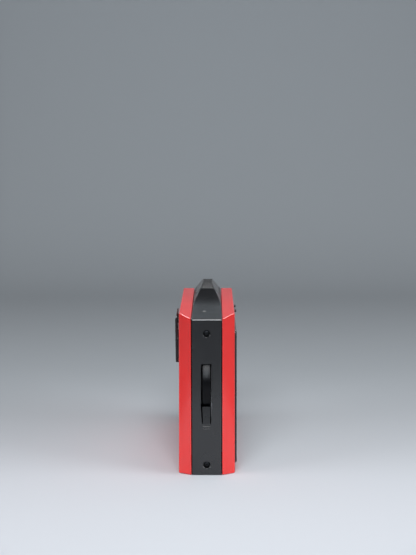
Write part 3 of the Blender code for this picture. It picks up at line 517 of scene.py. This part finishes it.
def centre_band(material):
    """The ring between the shells with its hump, key well, wheel slot and screw recesses."""
    ramp_end = HUMP_RIM - RIM_ROUNDING
    places = [15.0, 30.0]
    places += [HUMP_START + (ramp_end - HUMP_START) * i / 30 for i in range(31)]
    places += [ramp_end + RIM_ROUNDING * i / 5 for i in range(1, 6)]
    places += [HUMP_RIM + (HUMP_END - HUMP_RIM) * i / 14 for i in range(1, 15)]
    rings = []
    for depth, inset in rounded_run(0.0, DEPTH, END_RADIUS, 6, places):
        rings.append(ring("Y", NEAR + depth, band_section(depth, inset)))
    band = loft(rings)
    cavity = rectangle((NEAR + BAND_WALL, FAR - BAND_WALL), (BAND_WALL, BODY_TOP - BAND_WALL))
    cut(band, prism("X", -BAND_X - 2, BAND_X + 2, arcs(cavity, 1.5)))
    for centre, outward in screw_places().values():
        deep = centre.y - outward * SCREW_BOSS
        fuse(band, cylinder("Y", (0, centre.z), centre.y - outward, deep, 4.0, 40))
    for y, z in LEDGES:
        fuse(band, block((-0.6, 2.6), y, z))
    well = rectangle((-WELL_HALF, WELL_HALF), (NEAR + HUMP_RIM, NEAR + HUMP_END))
    cut(band, prism("Z", BODY_TOP - BAND_WALL - 3, BODY_TOP + 12, arcs(well, 0.5)))
    slot = rectangle(SLOT_X, SLOT_Z)
    mouth = ((NEAR - 1, 1.25), (NEAR + 0.25, 0.0), (NEAR + 0.6, 0.0), (NEAR + 5, 0.0))
    cut(band, flared("Y", slot, 0.5, mouth))
    cut(band, block(SLOT_X, (NEAR + 0.6, NEAR + 5), (SLOT_Z[0] - 2.2, SLOT_Z[1] + 2.1)))
    cut(band, finger_scoop(), scoop_groove(0), scoop_groove(1))
    for z, depth in TICKS:
        tick = ((NEAR - 0.5, z + 2 * depth + 0.5), (NEAR + depth, z + depth), (NEAR - 0.5, z - 0.5))
        cut(band, prism("X", SCOOP_END_X[0] + 0.3, SCOOP_END_X[1] - 0.3, tick))
    for centre, outward in screw_places().values():
        cut(band, end_recess(centre, outward))
    lamp_hole = ((BODY_TOP - 4, 1.3), (BODY_TOP - 0.1, 1.3), (BODY_TOP + 1, 2.5))
    cut(band, turned("Z", middle_of("power_lamp", "xy"), lamp_hole, 32))
    jack_hole = ((FAR - 5, 2.6), (FAR - 0.3, 2.6), (FAR + 1, 3.9))
    cut(band, turned("Y", middle_of("headphone_jack", "xz"), jack_hole, 40))
    for node in CHASSIS_SCREWS:
        cut(band, cylinder("X", middle_of(node, "yz"), -3, 4, 1.1, 16))
    finish_piece(band, "band", "casing", material, "charcoal_band", "centre_frame")


def front_cutter(rows):
    """Cutter into the near face from rows of (height, range on X, depth)."""
    return loft([ring("Z", z, rectangle(x, (NEAR - 1, NEAR + depth))) for z, x, depth in rows])


def finger_scoop():
    """Cutter for the ramp under the wheel, which narrows and runs out downwards."""
    top = SLOT_Z[0] + 1
    return front_cutter(((top, SLOT_X, SCOOP_DEPTH), (SCOOP_FOOT, SCOOP_END_X, SCOOP_END_DEPTH)))


def scoop_groove(side):
    """Cutter for the narrow groove along one side of the ramp; side is 0 for low X and 1 for high X."""
    ends = ((SLOT_Z[0] + 0.6, SLOT_X[side], 0.55), (SCOOP_FOOT + 0.4, SCOOP_END_X[side], 0.35))
    return front_cutter([(z, (x - half, x + half), GROOVE_DEPTH) for z, x, half in ends])


def near_edge(x):
    """Y of a shell's near edge at the foot and at the top, at a place on X; inside the seam it stays."""
    share = max(0.0, (x - SHELL_X) / (FACE_X - SHELL_X))
    return NEAR + bevel_depth(0) * share, NEAR + bevel_depth(BODY_TOP) * share


def shell_section(x, inset):
    """Outline of a shell in Y and Z at a place on X, moved inwards by an inset."""
    foot, top = near_edge(x)
    corners = ((foot, 0), (FAR, 0), (FAR, BODY_TOP), (top, BODY_TOP))
    radius = max(SHELL_RADIUS - inset, 0.06)
    return subdivided_sides(arcs(grown(corners, -inset), radius, 5), 6, 24)


def subdivided_sides(outline, per_corner, parts):
    """Split the straight side after each corner's run of points into equal parts."""
    points = []
    for i, point in enumerate(outline):
        points.append(point)
        if i % per_corner == per_corner - 1:
            here, ahead = Vector(point), Vector(outline[(i + 1) % len(outline)])
            points += [tuple(here.lerp(ahead, part / parts)) for part in range(1, parts)]
    return points


def half_shell(side):
    """Outer half of the casing; side is 1 for the door half and -1 for the clip half."""
    sections = [(SHELL_X + away, inset) for away, inset in rounding(SEAM_RADIUS, 3)]
    middle = 14
    start, end = SHELL_X + SEAM_RADIUS, FACE_X - SHELL_RADIUS
    sections += [(start + (end - start) * i / middle, 0.0) for i in range(1, middle)]
    sections += [(FACE_X - away, inset) for away, inset in reversed(rounding(SHELL_RADIUS, 6))]
    shell = loft([ring("X", side * x, shell_section(x, inset)) for x, inset in sections])
    room = []
    for x in (SHELL_X - 2, FACE_X - SHELL_WALL):
        foot, top = near_edge(x)
        far, roof = FAR - SHELL_WALL, BODY_TOP - SHELL_WALL
        corners = ((foot + BAND_WALL, SHELL_WALL), (far, SHELL_WALL), (far, roof), (top + BAND_WALL, roof))
        room.append(ring("X", side * x, subdivided_sides(corners, 1, 16)))
    return cut(shell, loft(room))


def door_corners(grow, foot_grow=None):
    """Corners of the cassette door in Y and Z, grown on every side."""
    foot = DOOR_LOW.z - (grow if foot_grow is None else foot_grow)
    top = DOOR_HIGH.z + grow
    far = DOOR_HIGH.y + grow
    near_foot = NEAR + bevel_depth(foot) + DOOR_EDGE - grow
    near_top = NEAR + bevel_depth(top) + DOOR_EDGE - grow
    return ((near_foot, foot), (far, foot), (far, top), (near_top, top))


def knob_face(switch):
    """Ranges on Y and Z of the part of a slide knob that shows in its slot."""
    low, high = extent(switch + "_knob")
    return (low.y + 1.0, high.y - 1.0), (low.z + 1.25, high.z - 0.75)


def front_shell(material):
    """Red half with the door opening, the switch slots and the hinge pin holes."""
    shell = half_shell(1)
    opening = door_corners(DOOR_GAP, DOOR_FOOT_GAP)
    cut(shell, flared("X", opening, 2.4, ((15.0, 0.0), (FACE_X - 0.25, 0.0), (FACE_X + 0.5, 0.75))))
    for switch in ("tape_switch", "tone_switch"):
        knob_y, knob_z = knob_face(switch)
        slot_y = (knob_y[0] - GAP, knob_y[1] + SWITCH_TRAVEL + GAP)
        slot = rectangle(slot_y, (knob_z[0] - GAP, knob_z[1] + GAP))
        cut(shell, flared("X", slot, 0.3, ((15.0, 0.0), (FACE_X - 0.2, 0.0), (FACE_X + 0.5, 0.7))))
    pin_holes = (("door_hinge_pin_near", HINGE_NEAR_LOW.y - 0.2, HINGE_NEAR_LOW.y + 4),
                 ("door_hinge_pin_far", HINGE_FAR_LOW.y - 1, HINGE_FAR_HIGH.y + 0.4))
    for node, start, end in pin_holes:
        cut(shell, cylinder("Y", middle_of(node, "xz"), start, end, HINGE_HOLE, 20))
    finish_piece(shell, "door_side_shell", "casing", material, "red_shell", "front_shell")


def rear_shell(material):
    """Red half with the battery opening, which runs out through the far end."""
    shell = half_shell(-1)
    opening_z = (LID_LOW.z - GAP, LID_HIGH.z + GAP)
    cut(shell, block((-FACE_X - 2, LID_HIGH.x + GAP), (LID_LOW.y - GAP, FAR + 2), opening_z))
    cut(shell, block((-18.0, -16.0), (LID_LOW.y - GAP, FAR - 3.5), (LID_LOW.z + 0.6, LID_HIGH.z - 0.6)))
    finish_piece(shell, "clip_side_shell", "casing", material, "red_shell", "rear_shell")


# ---- Door -----------------------------------------------------------------------------------
def cassette_door(material):
    """Raised door with a soft chamfer, a window seat, a border groove and a finger notch."""
    back, face = DOOR_BACK, DOOR_HIGH.x
    soft = 0.25
    sections = [(back, soft), (back + soft, 0.0), (face - 1.0, 0.0)]
    sections += [(face - 1.0 + i / 6 * 0.86, (i / 6) ** 1.6) for i in range(1, 7)]
    sections += [(face, 1.35)]
    rings = []
    for x, inset in sections:
        rings.append(ring("X", x, arcs(door_corners(-inset), max(2.0 - inset, 0.6), 6)))
    door = loft(rings)
    groove = 0.35
    outer = arcs(grown(door_corners(0), -5.0), 1.4, 6)
    inner = arcs(grown(door_corners(0), -5.7), 0.9, 6)
    cut(door, border("X", face - groove, face + 1, outer, inner))
    seat = rectangle((WINDOW_LOW.y - GAP, WINDOW_HIGH.y + GAP), (WINDOW_LOW.z - GAP, WINDOW_HIGH.z + GAP))
    cut(door, flared("X", seat, 2.8, ((18.9, 0.0), (face - 0.2, 0.0), (face + 1, 1.2)), 6))
    cut(door, prism("X", 16.0, 22.0, arcs(grown(seat, -1.5), 1.6, 6)))
    middle = (door_corners(0)[2][0] + door_corners(0)[3][0]) / 2
    unit = circle((0, 0), 1, 40)
    notch = []
    for x, half in ((face - 0.9, 7.0), (face - 0.2, 8.6), (face + 0.6, 10.4)):
        ellipse = [(middle + half * u, DOOR_HIGH.z + 0.3 + 0.32 * half * v) for u, v in unit]
        notch.append(ring("X", x, ellipse))
    cut(door, loft(notch))
    fuse(door, block((14.6, back + 0.5), (3, 11), (92.0, 94.4)))
    for node, low, high in (("door_hinge_pin_near", HINGE_NEAR_LOW.y, HINGE_NEAR_HIGH.y),
                            ("door_hinge_pin_far", HINGE_FAR_LOW.y, HINGE_FAR_HIGH.y)):
        cut(door, cylinder("Y", middle_of(node, "xz"), low - 0.4, high + 0.4, HINGE_HOLE, 20))
    finish_piece(door, "door_panel", "door", material, "black_panel", "cassette_door")


def door_window(material):
    """Smoked pane with a soft edge, in the door's seat."""
    corners = rectangle((WINDOW_LOW.y, WINDOW_HIGH.y), (WINDOW_LOW.z, WINDOW_HIGH.z))
    pane = slab("X", WINDOW_LOW.x, WINDOW_HIGH.x, corners, 2.5, 0.2)
    finish_piece(pane, "window_pane", "door", material, "smoke_window", "door_window")


# ---- Keys -----------------------------------------------------------------------------------
def knurl(x, y):
    """Depth of the dotted pattern on the key tops."""
    wave = math.cos(2 * math.pi * x / KNURL_PITCH) * math.cos(2 * math.pi * y / KNURL_PITCH)
    return KNURL_DEPTH * (1 - max(0.0, min(1.0, 0.5 + 0.9 * wave)))


def key_ring(y, inset, foot, patterned):
    """Cross-section of a key at Y, with a dotted top."""
    height = hump_height(y - NEAR)
    half = KEY_HALF
    shoulder = (BAND_X - half) / FLANK
    crease = BAND_X - FLANK * height
    corners = ((-half, foot), (half, foot), (half, BODY_TOP + shoulder), (crease, BODY_TOP + height),
               (-crease, BODY_TOP + height), (-half, BODY_TOP + shoulder))
    radii = [max(radius - inset, 0.05) for radius in (0.3, 0.3, 0.3, 0.45, 0.45, 0.3)]
    outline = arcs(grown(corners, -inset), radii)
    per_corner = 5
    left, right = outline[4 * per_corner - 1], outline[4 * per_corner]
    parts = 48
    top = []
    for part in range(1, parts):
        point = Vector(left).lerp(Vector(right), part / parts)
        edge = min(part, parts - part) / 5
        fade = min(1.0, edge) * patterned
        top.append((point.x, point.y - knurl(point.x, y) * fade))
    outline[4 * per_corner:4 * per_corner] = top
    return ring("Y", y, outline)


def key(node, material):
    """One key: a slice of the hump with a dotted top, soft edges and a stem."""
    low, high = extent(node)
    foot = BODY_TOP - KEY_SKIRT
    radius = 0.4
    sections = [(low.y + away, inset, 0.0) for away, inset in rounding(radius, 3)]
    steps = 60
    start, end = low.y + radius, high.y - radius
    for i in range(1, steps):
        sections.append((start + (end - start) * i / steps, 0.0, min(1.0, i / 5, (steps - i) / 5)))
    sections += [(high.y - away, inset, 0.0) for away, inset in reversed(rounding(radius, 3))]
    cap = loft([key_ring(y, inset, foot, patterned) for y, inset, patterned in sections])
    middle = (low.y + high.y) / 2
    fuse(cap, block((4.4, 7.2), (middle - 2, middle + 2), (low.z, foot + 1)))
    if node == KEYS[0]:
        # small facets on the near corners of the first key, at the hump's rim
        for side in (-1, 1):
            outline = ((side * 6.4, low.y - 1), (side * 9.5, low.y - 1), (side * 9.5, low.y + 1.5))
            cut(cap, prism("Z", BODY_TOP + 1.2, BODY_TOP + 4.6, outline[::side]))
    finish_piece(cap, node + "_cap", node, material, "charcoal_band", node)


# ---- Controls -------------------------------------------------------------------------------
def volume_wheel(material):
    """Thumbwheel with a bead along each edge of its rim and a dished side."""
    low, high = WHEEL_LOW.x, WHEEL_HIGH.x
    radius = (WHEEL_HIGH.y - WHEEL_LOW.y) / 2
    bead = 0.45
    profile = [(low, 5.0), (low + 0.7, 5.6), (low + 0.7, radius - 3.4), (low, radius - 2.6)]
    profile += [(low + away, radius - inset) for away, inset in rounding(bead, 5)]
    profile += [(low + 1.0, radius - 0.06), (low + 1.25, radius - 0.14), (low + 2.0, radius - 0.08)]
    mirrored = [(low + high - along, size) for along, size in reversed(profile)]
    wheel = turned("X", middle_of("volume_wheel", "yz"), profile + mirrored, 160, 1.6)
    finish_piece(wheel, "thumbwheel", "volume_wheel", material, "gloss_black", "volume_wheel")


def switch_knob(switch, material):
    """Slide knob with grip grooves across its face."""
    low, high = extent(switch + "_knob")
    knob = slab("X", 16.3, high.x, rectangle(*knob_face(switch)), 0.3, 0.2)
    fuse(knob, block((low.x, 16.9), (low.y, high.y), (low.z, high.z)))
    grooves = 4
    span = high.y - low.y - 3.2
    for i in range(grooves):
        y = low.y + 1.6 + span * (i + 0.5) / grooves
        outline = ((high.x + 0.3, y - 0.55), (high.x - 0.35, y), (high.x + 0.3, y + 0.55))
        cut(knob, prism("Z", low.z - 1, high.z + 1, outline))
    finish_piece(knob, switch + "_slider", switch, material, "black_panel", switch + "_knob")


def power_lamp(material):
    """Domed lens with a foot under the wall."""
    foot = extent("power_lamp")[0].z
    dome = [(BODY_TOP + 0.02 + 0.36 * math.sin(a), 1.1 * math.cos(a))
            for a in (math.radians(15 * i) for i in range(6))]
    profile = [(foot, 2.0), (foot + 1.5, 2.0), (foot + 1.5, 1.1)] + dome
    lens = turned("Z", middle_of("power_lamp", "xy"), profile, 40)
    finish_piece(lens, "lamp_lens", "casing", material, "lamp_lens", "power_lamp")


def headphone_jack(plastic, metal):
    """Socket with a rolled collar, and a metal contact sleeve inside."""
    low, high = extent("headphone_jack")
    centre = middle_of("headphone_jack", "xz")
    face = high.y
    step = FAR - BAND_WALL - GAP
    profile = [(low.y, 3.5), (step, 3.5), (step, 2.3), (face - 0.3, 2.3), (face, 2.05)]
    socket = turned("Y", centre, profile, 48, 1.8)
    finish_piece(socket, "headphone_socket", "casing", plastic, "black_panel", "headphone_jack")
    sleeve = turned("Y", centre, ((face - 9, 1.78), (face - 0.9, 1.78), (face - 0.7, 1.74)), 48, 1.6)
    finish_piece(sleeve, "headphone_contact", "casing", metal, "bright_steel")


def end_screw(node, material):
    """Pan-head screw with a cross recess."""
    centre, outward = screw_places()[node]
    face = centre.y
    dome = [(face - outward * (1.25 + 0.75 * (1 - math.cos(a)) ** 1.2), 2.0 * math.sin(a))
            for a in (math.radians(14 + 15.2 * i) for i in range(6))]
    profile = dome + [(face - outward * 2.9, 2.0), (face - outward * 2.9, 0.9)]
    profile += [(face - outward * (SCREW_BOSS - GAP), 0.9)]
    screw = turned("Y", (0, centre.z), profile, 40)
    for along, across in ((0.28, 1.15), (1.15, 0.28)):
        tips = []
        for y, size in ((face - outward * 0.6, 1.0), (face - outward * 2.3, 0.45)):
            half = (max(along * size, 0.2), max(across * size, 0.2))
            tip = rectangle((-half[0], half[0]), (centre.z - half[1], centre.z + half[1]))
            tips.append(ring("Y", y, tip))
        cut(screw, loft(tips))
    finish_piece(screw, node + "_head", "casing", material, "dark_steel", node)


# ---- Belt clip and battery lid --------------------------------------------------------------
def belt_clip(material):
    """Clip plate with rounded corners, a curled foot, stiffening ribs, thumb grooves and knuckles."""
    inner, outer = CLIP_INNER, CLIP_LOW.x
    foot, top = CLIP_LOW.z, CLIP_HIGH.z
    outline = (
        (inner + 1.3, foot), (inner + 1.3, foot + 0.8), (inner, foot + 2.4), (inner, top - 0.4),
        (inner - 0.3, top), (outer + 0.7, top), (outer, top - 3.6), (outer + 0.25, foot + 0.8),
        (outer + 0.9, foot))
    clip = prism("Y", CLIP_LOW.y, CLIP_HIGH.y, arcs(list(reversed(outline)), 0.35, 3))
    plate = rectangle((CLIP_LOW.y, CLIP_HIGH.y), (foot, top))
    cut(clip, border("X", -30, -10, arcs(grown(plate, 3), 0.2, 6), arcs(plate, 2.2, 6)))
    for edge in ((CLIP_LOW.y + 0.2, CLIP_LOW.y + 1.4), (CLIP_HIGH.y - 1.4, CLIP_HIGH.y - 0.2)):
        fuse(clip, slab("Y", *edge, rectangle((inner - 0.4, inner + 1.0), (foot + 3.0, 84.0)), 0.3, 0.2))
    for i in range(5):
        z = top - 5.5 - 1.8 * i
        groove = ((outer - 0.5, z - 0.65), (outer + 0.32, z), (outer - 0.5, z + 0.65))
        cut(clip, prism("Y", -10.5, 10.5, groove))
    pin = middle_of("clip_pin", "xz")
    for low, high in ((-10.6, -7.4), (7.4, 10.6)):
        knuckle = cylinder("Y", pin, low, high, KNUCKLE_RADIUS, 32)
        web_z = (pin[1] - KNUCKLE_RADIUS, pin[1] + KNUCKLE_RADIUS)
        fuse(knuckle, block((inner - 0.3, pin[0]), (low, high), web_z))
        fuse(clip, knuckle)
    cut(clip, cylinder("Y", pin, -12, 12, CLIP_PIN_HOLE, 24))
    finish_piece(clip, "clip_lever", "belt_clip", material, "black_panel", "belt_clip")


def clip_bracket(material):
    """Base plate with rounded corners on the rear shell, and two rounded ears for the pin."""
    low, high = extent("clip_bracket")
    bracket = slab("X", high.x - 0.6, high.x, rectangle((low.y, high.y), (low.z, high.z)), 1.4, 0.15)
    pin = middle_of("clip_pin", "xz")
    for room_y in ((-11.0, -7.1), (-4.8, 4.8), (7.1, 11.0)):
        cut(bracket, block((-21.0, -18.0), room_y, (pin[1] - 1.9, pin[1] + 1.9)))
    for ear_y in ((-6.8, -5.0), (5.0, 6.8)):
        outline = rectangle((low.x, high.x), (pin[1] - 2.6, pin[1] + 1.2))
        fuse(bracket, slab("Y", *ear_y, outline, 0.5, 0.1))
    cut(bracket, cylinder("Y", pin, -12, 12, CLIP_PIN_HOLE, 24))
    finish_piece(bracket, "clip_mount", "casing", material, "dark_steel", "clip_bracket")


def battery_lid(material):
    """Sliding lid with soft edges, grip grooves and a direction arrow."""
    corners = rectangle((LID_LOW.y, LID_HIGH.y), (LID_LOW.z, LID_HIGH.z))
    lid = slab("X", LID_LOW.x, LID_HIGH.x, corners, 0.5, 0.3)
    middle = (LID_LOW.z + LID_HIGH.z) / 2
    half = (LID_HIGH.z - LID_LOW.z) / 2 - 8
    face = LID_LOW.x
    for rib in range(5):
        y = LID_LOW.y + 8.5 + 2.2 * rib
        reach = half - 0.9 * abs(rib - 2)
        groove = ((face - 0.5, y - 1.0), (face + 0.55, y), (face - 0.5, y + 1.0))
        cut(lid, prism("Z", middle - reach, middle + reach, groove))
    arrow = ((26.0, middle - 0.6), (31.5, middle - 0.6), (31.5, middle - 2.6), (36.0, middle),
             (31.5, middle + 2.6), (31.5, middle + 0.6), (26.0, middle + 0.6))
    cut(lid, prism("X", face - 1, face + 0.3, arrow))
    finish_piece(lid, "battery_cover", "battery_lid", material, "red_shell", "battery_lid")


# ---- Tape drive -----------------------------------------------------------------------------
def reel_spindle(node, material):
    """Disc behind the plate and a domed three-finned hub in the bay."""
    low, high = extent(node)
    centre = middle_of(node, "yz")
    disc = (high.y - low.y) / 2
    profile = [(low.x, disc - 0.3), (low.x + 0.3, disc), (2.2 - 0.3, disc), (2.2, disc - 0.3), (2.2, 2.0),
               (4.4, 2.0), (4.4, 3.0), (4.7, 3.2), (10.6, 3.2), (11.3, 2.9), (11.8, 2.2), (high.x, 1.0)]
    spindle = turned("X", centre, profile, 64)
    for fin in range(3):
        angle = 2 * math.pi * fin / 3 + math.pi / 2
        outward = Vector((math.cos(angle), math.sin(angle)))
        across = Vector((-outward.y, outward.x)) * 0.6
        hub = Vector(centre)
        outline = [hub + outward * 2.0 - across, hub + outward * 4.4 - across * 0.8,
                   hub + outward * 4.4 + across * 0.8, hub + outward * 2.0 + across]
        fuse(spindle, softened(prism("X", 5.0, 10.4, outline), 0.2))
    finish_piece(spindle, node + "_hub", node, material, "inner_black", node)


def pinch_roller(material):
    """Rubber roller with rounded edges."""
    low, high = extent("pinch_roller")
    radius = (high.z - low.z) / 2
    profile = [(x, radius - inset) for x, inset in rounded_run(low.x, high.x, 0.4, 4)]
    roller = turned("X", middle_of("pinch_roller", "yz"), profile, 64, 1.0)
    finish_piece(roller, "roller_tyre", "pinch_roller", material, "black_rubber", "pinch_roller")


def playback_head(material):
    """Polished head with a domed face and a groove for the tape."""
    low, high = extent("playback_head")
    middle = (low.y + high.y) / 2
    half = (high.y - low.y) / 2
    radius = 10.0
    centre_z = low.z + radius
    face = [(middle + half * (i / 12 - 1), centre_z - math.sqrt(radius ** 2 - (half * (i / 12 - 1)) ** 2))
            for i in range(25)]
    outline = face + [(middle + half, high.z), (middle - half, high.z)]
    head = softened(prism("X", low.x, high.x, outline), 0.25, angle=50)
    gap_x = (low.x + high.x) / 2
    for x in (gap_x - 1.6, gap_x + 1.6):
        cut(head, block((x - 0.9, x + 0.9), (middle - 1.3, middle + 1.3), (low.z - 1, low.z + 0.12)))
    finish_piece(head, "head_shell", "head_slide", material, "chrome_head", "playback_head")


def motor(material):
    """Motor can with rolled edges, a crimp line and a shaft."""
    low, high = extent("motor")
    radius = (high.z - low.z) / 2
    back = -4.9
    profile = [(low.x, 0.6), (low.x + 0.2, 0.75), (back - 0.6, 0.75), (back - 0.6, 2.4), (back, 2.4)]
    profile += [(back + away, radius - inset) for away, inset in rounding(0.6, 4)]
    profile += [(7.8, radius), (8.0, radius - 0.25), (8.4, radius - 0.25), (8.6, radius)]
    profile += [(high.x - away, radius - inset) for away, inset in reversed(rounding(0.6, 4))]
    can = turned("X", middle_of("motor", "yz"), profile, 64)
    finish_piece(can, "motor_can", "casing", material, "bright_steel", "motor")


# ---- Carried-over CAD nodes -----------------------------------------------------------------
CARRIED = {
    "steel": ("cassette_holder", "door_catch_spring", "key_bracket", "chassis_plate", "head_plate",
              "tape_switch_body", "tone_switch_body", "battery_spring_contact", "battery_plate_contact",
              "pinch_roller_arm", *CHASSIS_SCREWS),
    "turned": ("door_hinge_pin_near", "door_hinge_pin_far", "clip_pin", "clip_spring", "flywheel",
               "pinch_roller_pin", "idler_pin", *(name + "_spring" for name in KEYS)),
    "inner": ("battery_box", "volume_control", "amplifier_chip"),
    "brass": ("motor_pulley", "capstan_bearing"),
    "rubber": ("drive_belt", "take_up_idler"),
    "board": ("circuit_board",),
    "sleeve": ("board_capacitor",),
}


def dress_cad(materials):
    """Give every CAD node that stays in view its procedural finish."""
    for finish, nodes in CARRIED.items():
        for node in nodes:
            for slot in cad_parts[node].material_slots:
                slot.material = materials[finish]


# ---- Stage ----------------------------------------------------------------------------------
SURROUND_DIM = 0.03         # strength of the dark surround that the object reflects
SURROUND_SEEN = 0.19        # and of the pale surround that the camera sees past the backdrop
OVERHEAD = 1.2              # watts of the softboxes above, high in front and on each side
HIGH = 4.4
RIGHT = 9.0
LEFT = 6.2
BACKDROP = 1.0              # of the one on the backdrop
RIM = 3.4                   # and of the strips behind and in front, which only show as highlights
GLINT = 8.5
TABLE_HALF = 950.0          # half width of the floor, and how far it reaches in front


def backdrop_paper():
    """Matt paper with a painted pool of light: pale round the object, with painted falloff and shade behind
    it, greyer up the backdrop, and painted shade to the sides and in front.
    """
    made = surface(
        "backdrop_paper", (0.5, 0.5, 0.5), 0.9, grain=700.0, relief=0.02, mottle=0.01, smudge=0.03,
        Specular_IOR_Level=0.1)
    tree = made.node_tree
    place = linked(tree, "ShaderNodeSeparateXYZ", {0: linked(tree, "ShaderNodeTexCoord").outputs["Object"]})
    x, y = place.outputs["X"], place.outputs["Y"]       # metres
    # painted falloff of light: the paper is paler in front of and round the object and darker behind it,
    # which also deepens the object's shadow there
    fade = mapped(tree, y, -0.18, 0.25, kind="SMOOTHSTEP")
    floor = mixed(tree, fade, (0.572, 0.597, 0.637, 1.0), (0.38, 0.408, 0.435, 1.0))
    rise = mapped(tree, y, 0.5, 0.95, kind="SMOOTHSTEP")
    tint = mixed(tree, rise, floor, (0.44, 0.475, 0.505, 1.0))
    # painted shade: outside an oval round the object, longer in front, the paper is painted dark grey in
    # place of unlit floor
    width = mapped(tree, y, 0.0, 1.12, 0.23, 0.5)
    aside = linked(tree, "ShaderNodeMath", {0: x, 1: width}, operation="DIVIDE").outputs["Value"]
    ahead = mapped(tree, y, 0.0, -0.6, 0.0, 2.0)
    reach = linked(tree, "ShaderNodeCombineXYZ", {"X": aside, "Y": ahead}).outputs["Vector"]
    spread = linked(tree, "ShaderNodeVectorMath", {0: reach}, operation="LENGTH").outputs["Value"]
    painted_dark_surround = mapped(tree, spread, 0.74, 1.1, kind="SMOOTHSTEP")
    shaded = mixed(tree, painted_dark_surround, tint, (0.2, 0.209, 0.223, 1.0))
    tree.links.new(shaded, tree.nodes["Principled BSDF"].inputs["Base Color"])
    return made


def sweep(material):
    """Floor that turns up into a backdrop behind the object."""
    start, radius, height = 620.0, 500.0, 530.0
    profile = [(-TABLE_HALF, 0.0), (-600.0, 0.0), (0.0, 0.0), (start, 0.0)]
    for i in range(1, 17):
        angle = math.pi / 2 * i / 16
        profile.append((start + radius * math.sin(angle), radius * (1 - math.cos(angle))))
    profile.append((start + radius, height))
    bm = bmesh.new()
    edges = (-TABLE_HALF, TABLE_HALF)
    rows = [[bm.verts.new((x * MM, y * MM, z * MM)) for y, z in profile] for x in edges]
    for i in range(len(profile) - 1):
        bm.faces.new((rows[0][i], rows[1][i], rows[1][i + 1], rows[0][i + 1]))
    mesh = bpy.data.meshes.new("sweep")
    bm.to_mesh(mesh)
    bm.free()
    mesh.shade_smooth()
    floor = bpy.data.objects.new("sweep", mesh)
    bpy.context.scene.collection.objects.link(floor)
    floor.data.materials.append(material)


def softbox(name, place, target, size, power, colour):
    """A rectangular area light aimed at a point; place and target are millimetres, power is watts."""
    light = bpy.data.lights.new(name, "AREA")
    light.shape = "RECTANGLE"
    light.size = size[0] * MM
    light.size_y = size[1] * MM
    light.energy = power
    light.color = colour
    lamp = bpy.data.objects.new(name, light)
    bpy.context.scene.collection.objects.link(lamp)
    lamp.location = Vector(place) * MM
    lamp.rotation_euler = (Vector(target) - Vector(place)).to_track_quat("-Z", "Y").to_euler()
    return lamp


def lights():
    """An overhead softbox, one high in front, one on each side, one on the backdrop, and strips
    in front and behind that only show as highlights."""
    softbox("overhead_softbox", (50, -90, 580), (10, -60, 0), (290, 250), OVERHEAD, (1.0, 0.99, 0.98))
    softbox("high_softbox", (-60, -560, 700), (0, -60, 40), (520, 220), HIGH, (0.96, 0.98, 1.0))
    softbox("right_softbox", (1070, -330, 440), (0, -60, 50), (560, 480), RIGHT, (0.95, 0.97, 1.0))
    softbox("left_softbox", (-1070, -330, 440), (0, -60, 50), (560, 480), LEFT, (0.95, 0.97, 1.0))
    softbox("backdrop_softbox", (0, 420, 1050), (0, 1120, 300), (1600, 200), BACKDROP, (0.95, 0.98, 1.0))
    glints = [softbox("front_strip", (0, -1000, 620), (0, -60, 50), (600, 520), GLINT, (0.86, 0.93, 1.0))]
    for side in (-1, 1):
        glints.append(softbox(
            "rim_strip", (side * 610, 930, 560), (0, -40, 100), (560, 130), RIM, (0.97, 0.98, 1.0)))
    for strip in glints:
        strip.visible_diffuse = False
    world = bpy.data.worlds.new("surround")
    world.use_nodes = True
    tree = world.node_tree
    seen = linked(tree, "ShaderNodeLightPath").outputs["Is Camera Ray"]
    strength = mapped(tree, seen, 0.0, 1.0, SURROUND_DIM, SURROUND_SEEN)
    background = tree.nodes["Background"]
    background.inputs["Color"].default_value = (0.88, 0.95, 1.0, 1.0)
    tree.links.new(strength, background.inputs["Strength"])
    bpy.context.scene.world = world


def camera():
    """The photograph's viewpoint: in front of the near end, a little above it."""
    lens = bpy.data.cameras.new("camera")
    lens.sensor_width = 36.0
    lens.lens = 62.27
    lens.clip_end = 20.0
    made = bpy.data.objects.new("camera", lens)
    bpy.context.scene.collection.objects.link(made)
    turn = Matrix.Rotation(math.radians(0.37), 4, "Z")
    pitch = Matrix.Rotation(math.radians(90 - 8.99), 4, "X")
    roll = Matrix.Rotation(math.radians(-0.1), 4, "Z")
    made.matrix_world = Matrix.Translation(Vector((5.0, -679.9, 232.8)) * MM) @ turn @ pitch @ roll
    bpy.context.scene.camera = made


# ---- Build ----------------------------------------------------------------------------------
def main():
    """Make the stage, every piece and every finish."""
    bpy.context.scene.view_settings.view_transform = "Standard"
    camera()
    lights()
    sweep(backdrop_paper())
    materials = make_materials()
    dress_cad(materials)
    centre_band(materials["charcoal"])
    front_shell(materials["red"])
    rear_shell(materials["red"])
    cassette_door(materials["black"])
    door_window(materials["smoke"])
    for node in KEYS:
        key(node, materials["key"])
    volume_wheel(materials["gloss"])
    for switch in ("tape_switch", "tone_switch"):
        switch_knob(switch, materials["black"])
    power_lamp(materials["lamp"])
    headphone_jack(materials["black"], materials["turned"])
    for node in END_SCREWS:
        end_screw(node, materials["dark_steel"])
    belt_clip(materials["black"])
    clip_bracket(materials["dark_steel"])
    battery_lid(materials["red"])
    for node in ("supply_spindle", "take_up_spindle"):
        reel_spindle(node, materials["inner"])
    pinch_roller(materials["rubber"])
    playback_head(materials["chrome"])
    motor(materials["turned"])


main()
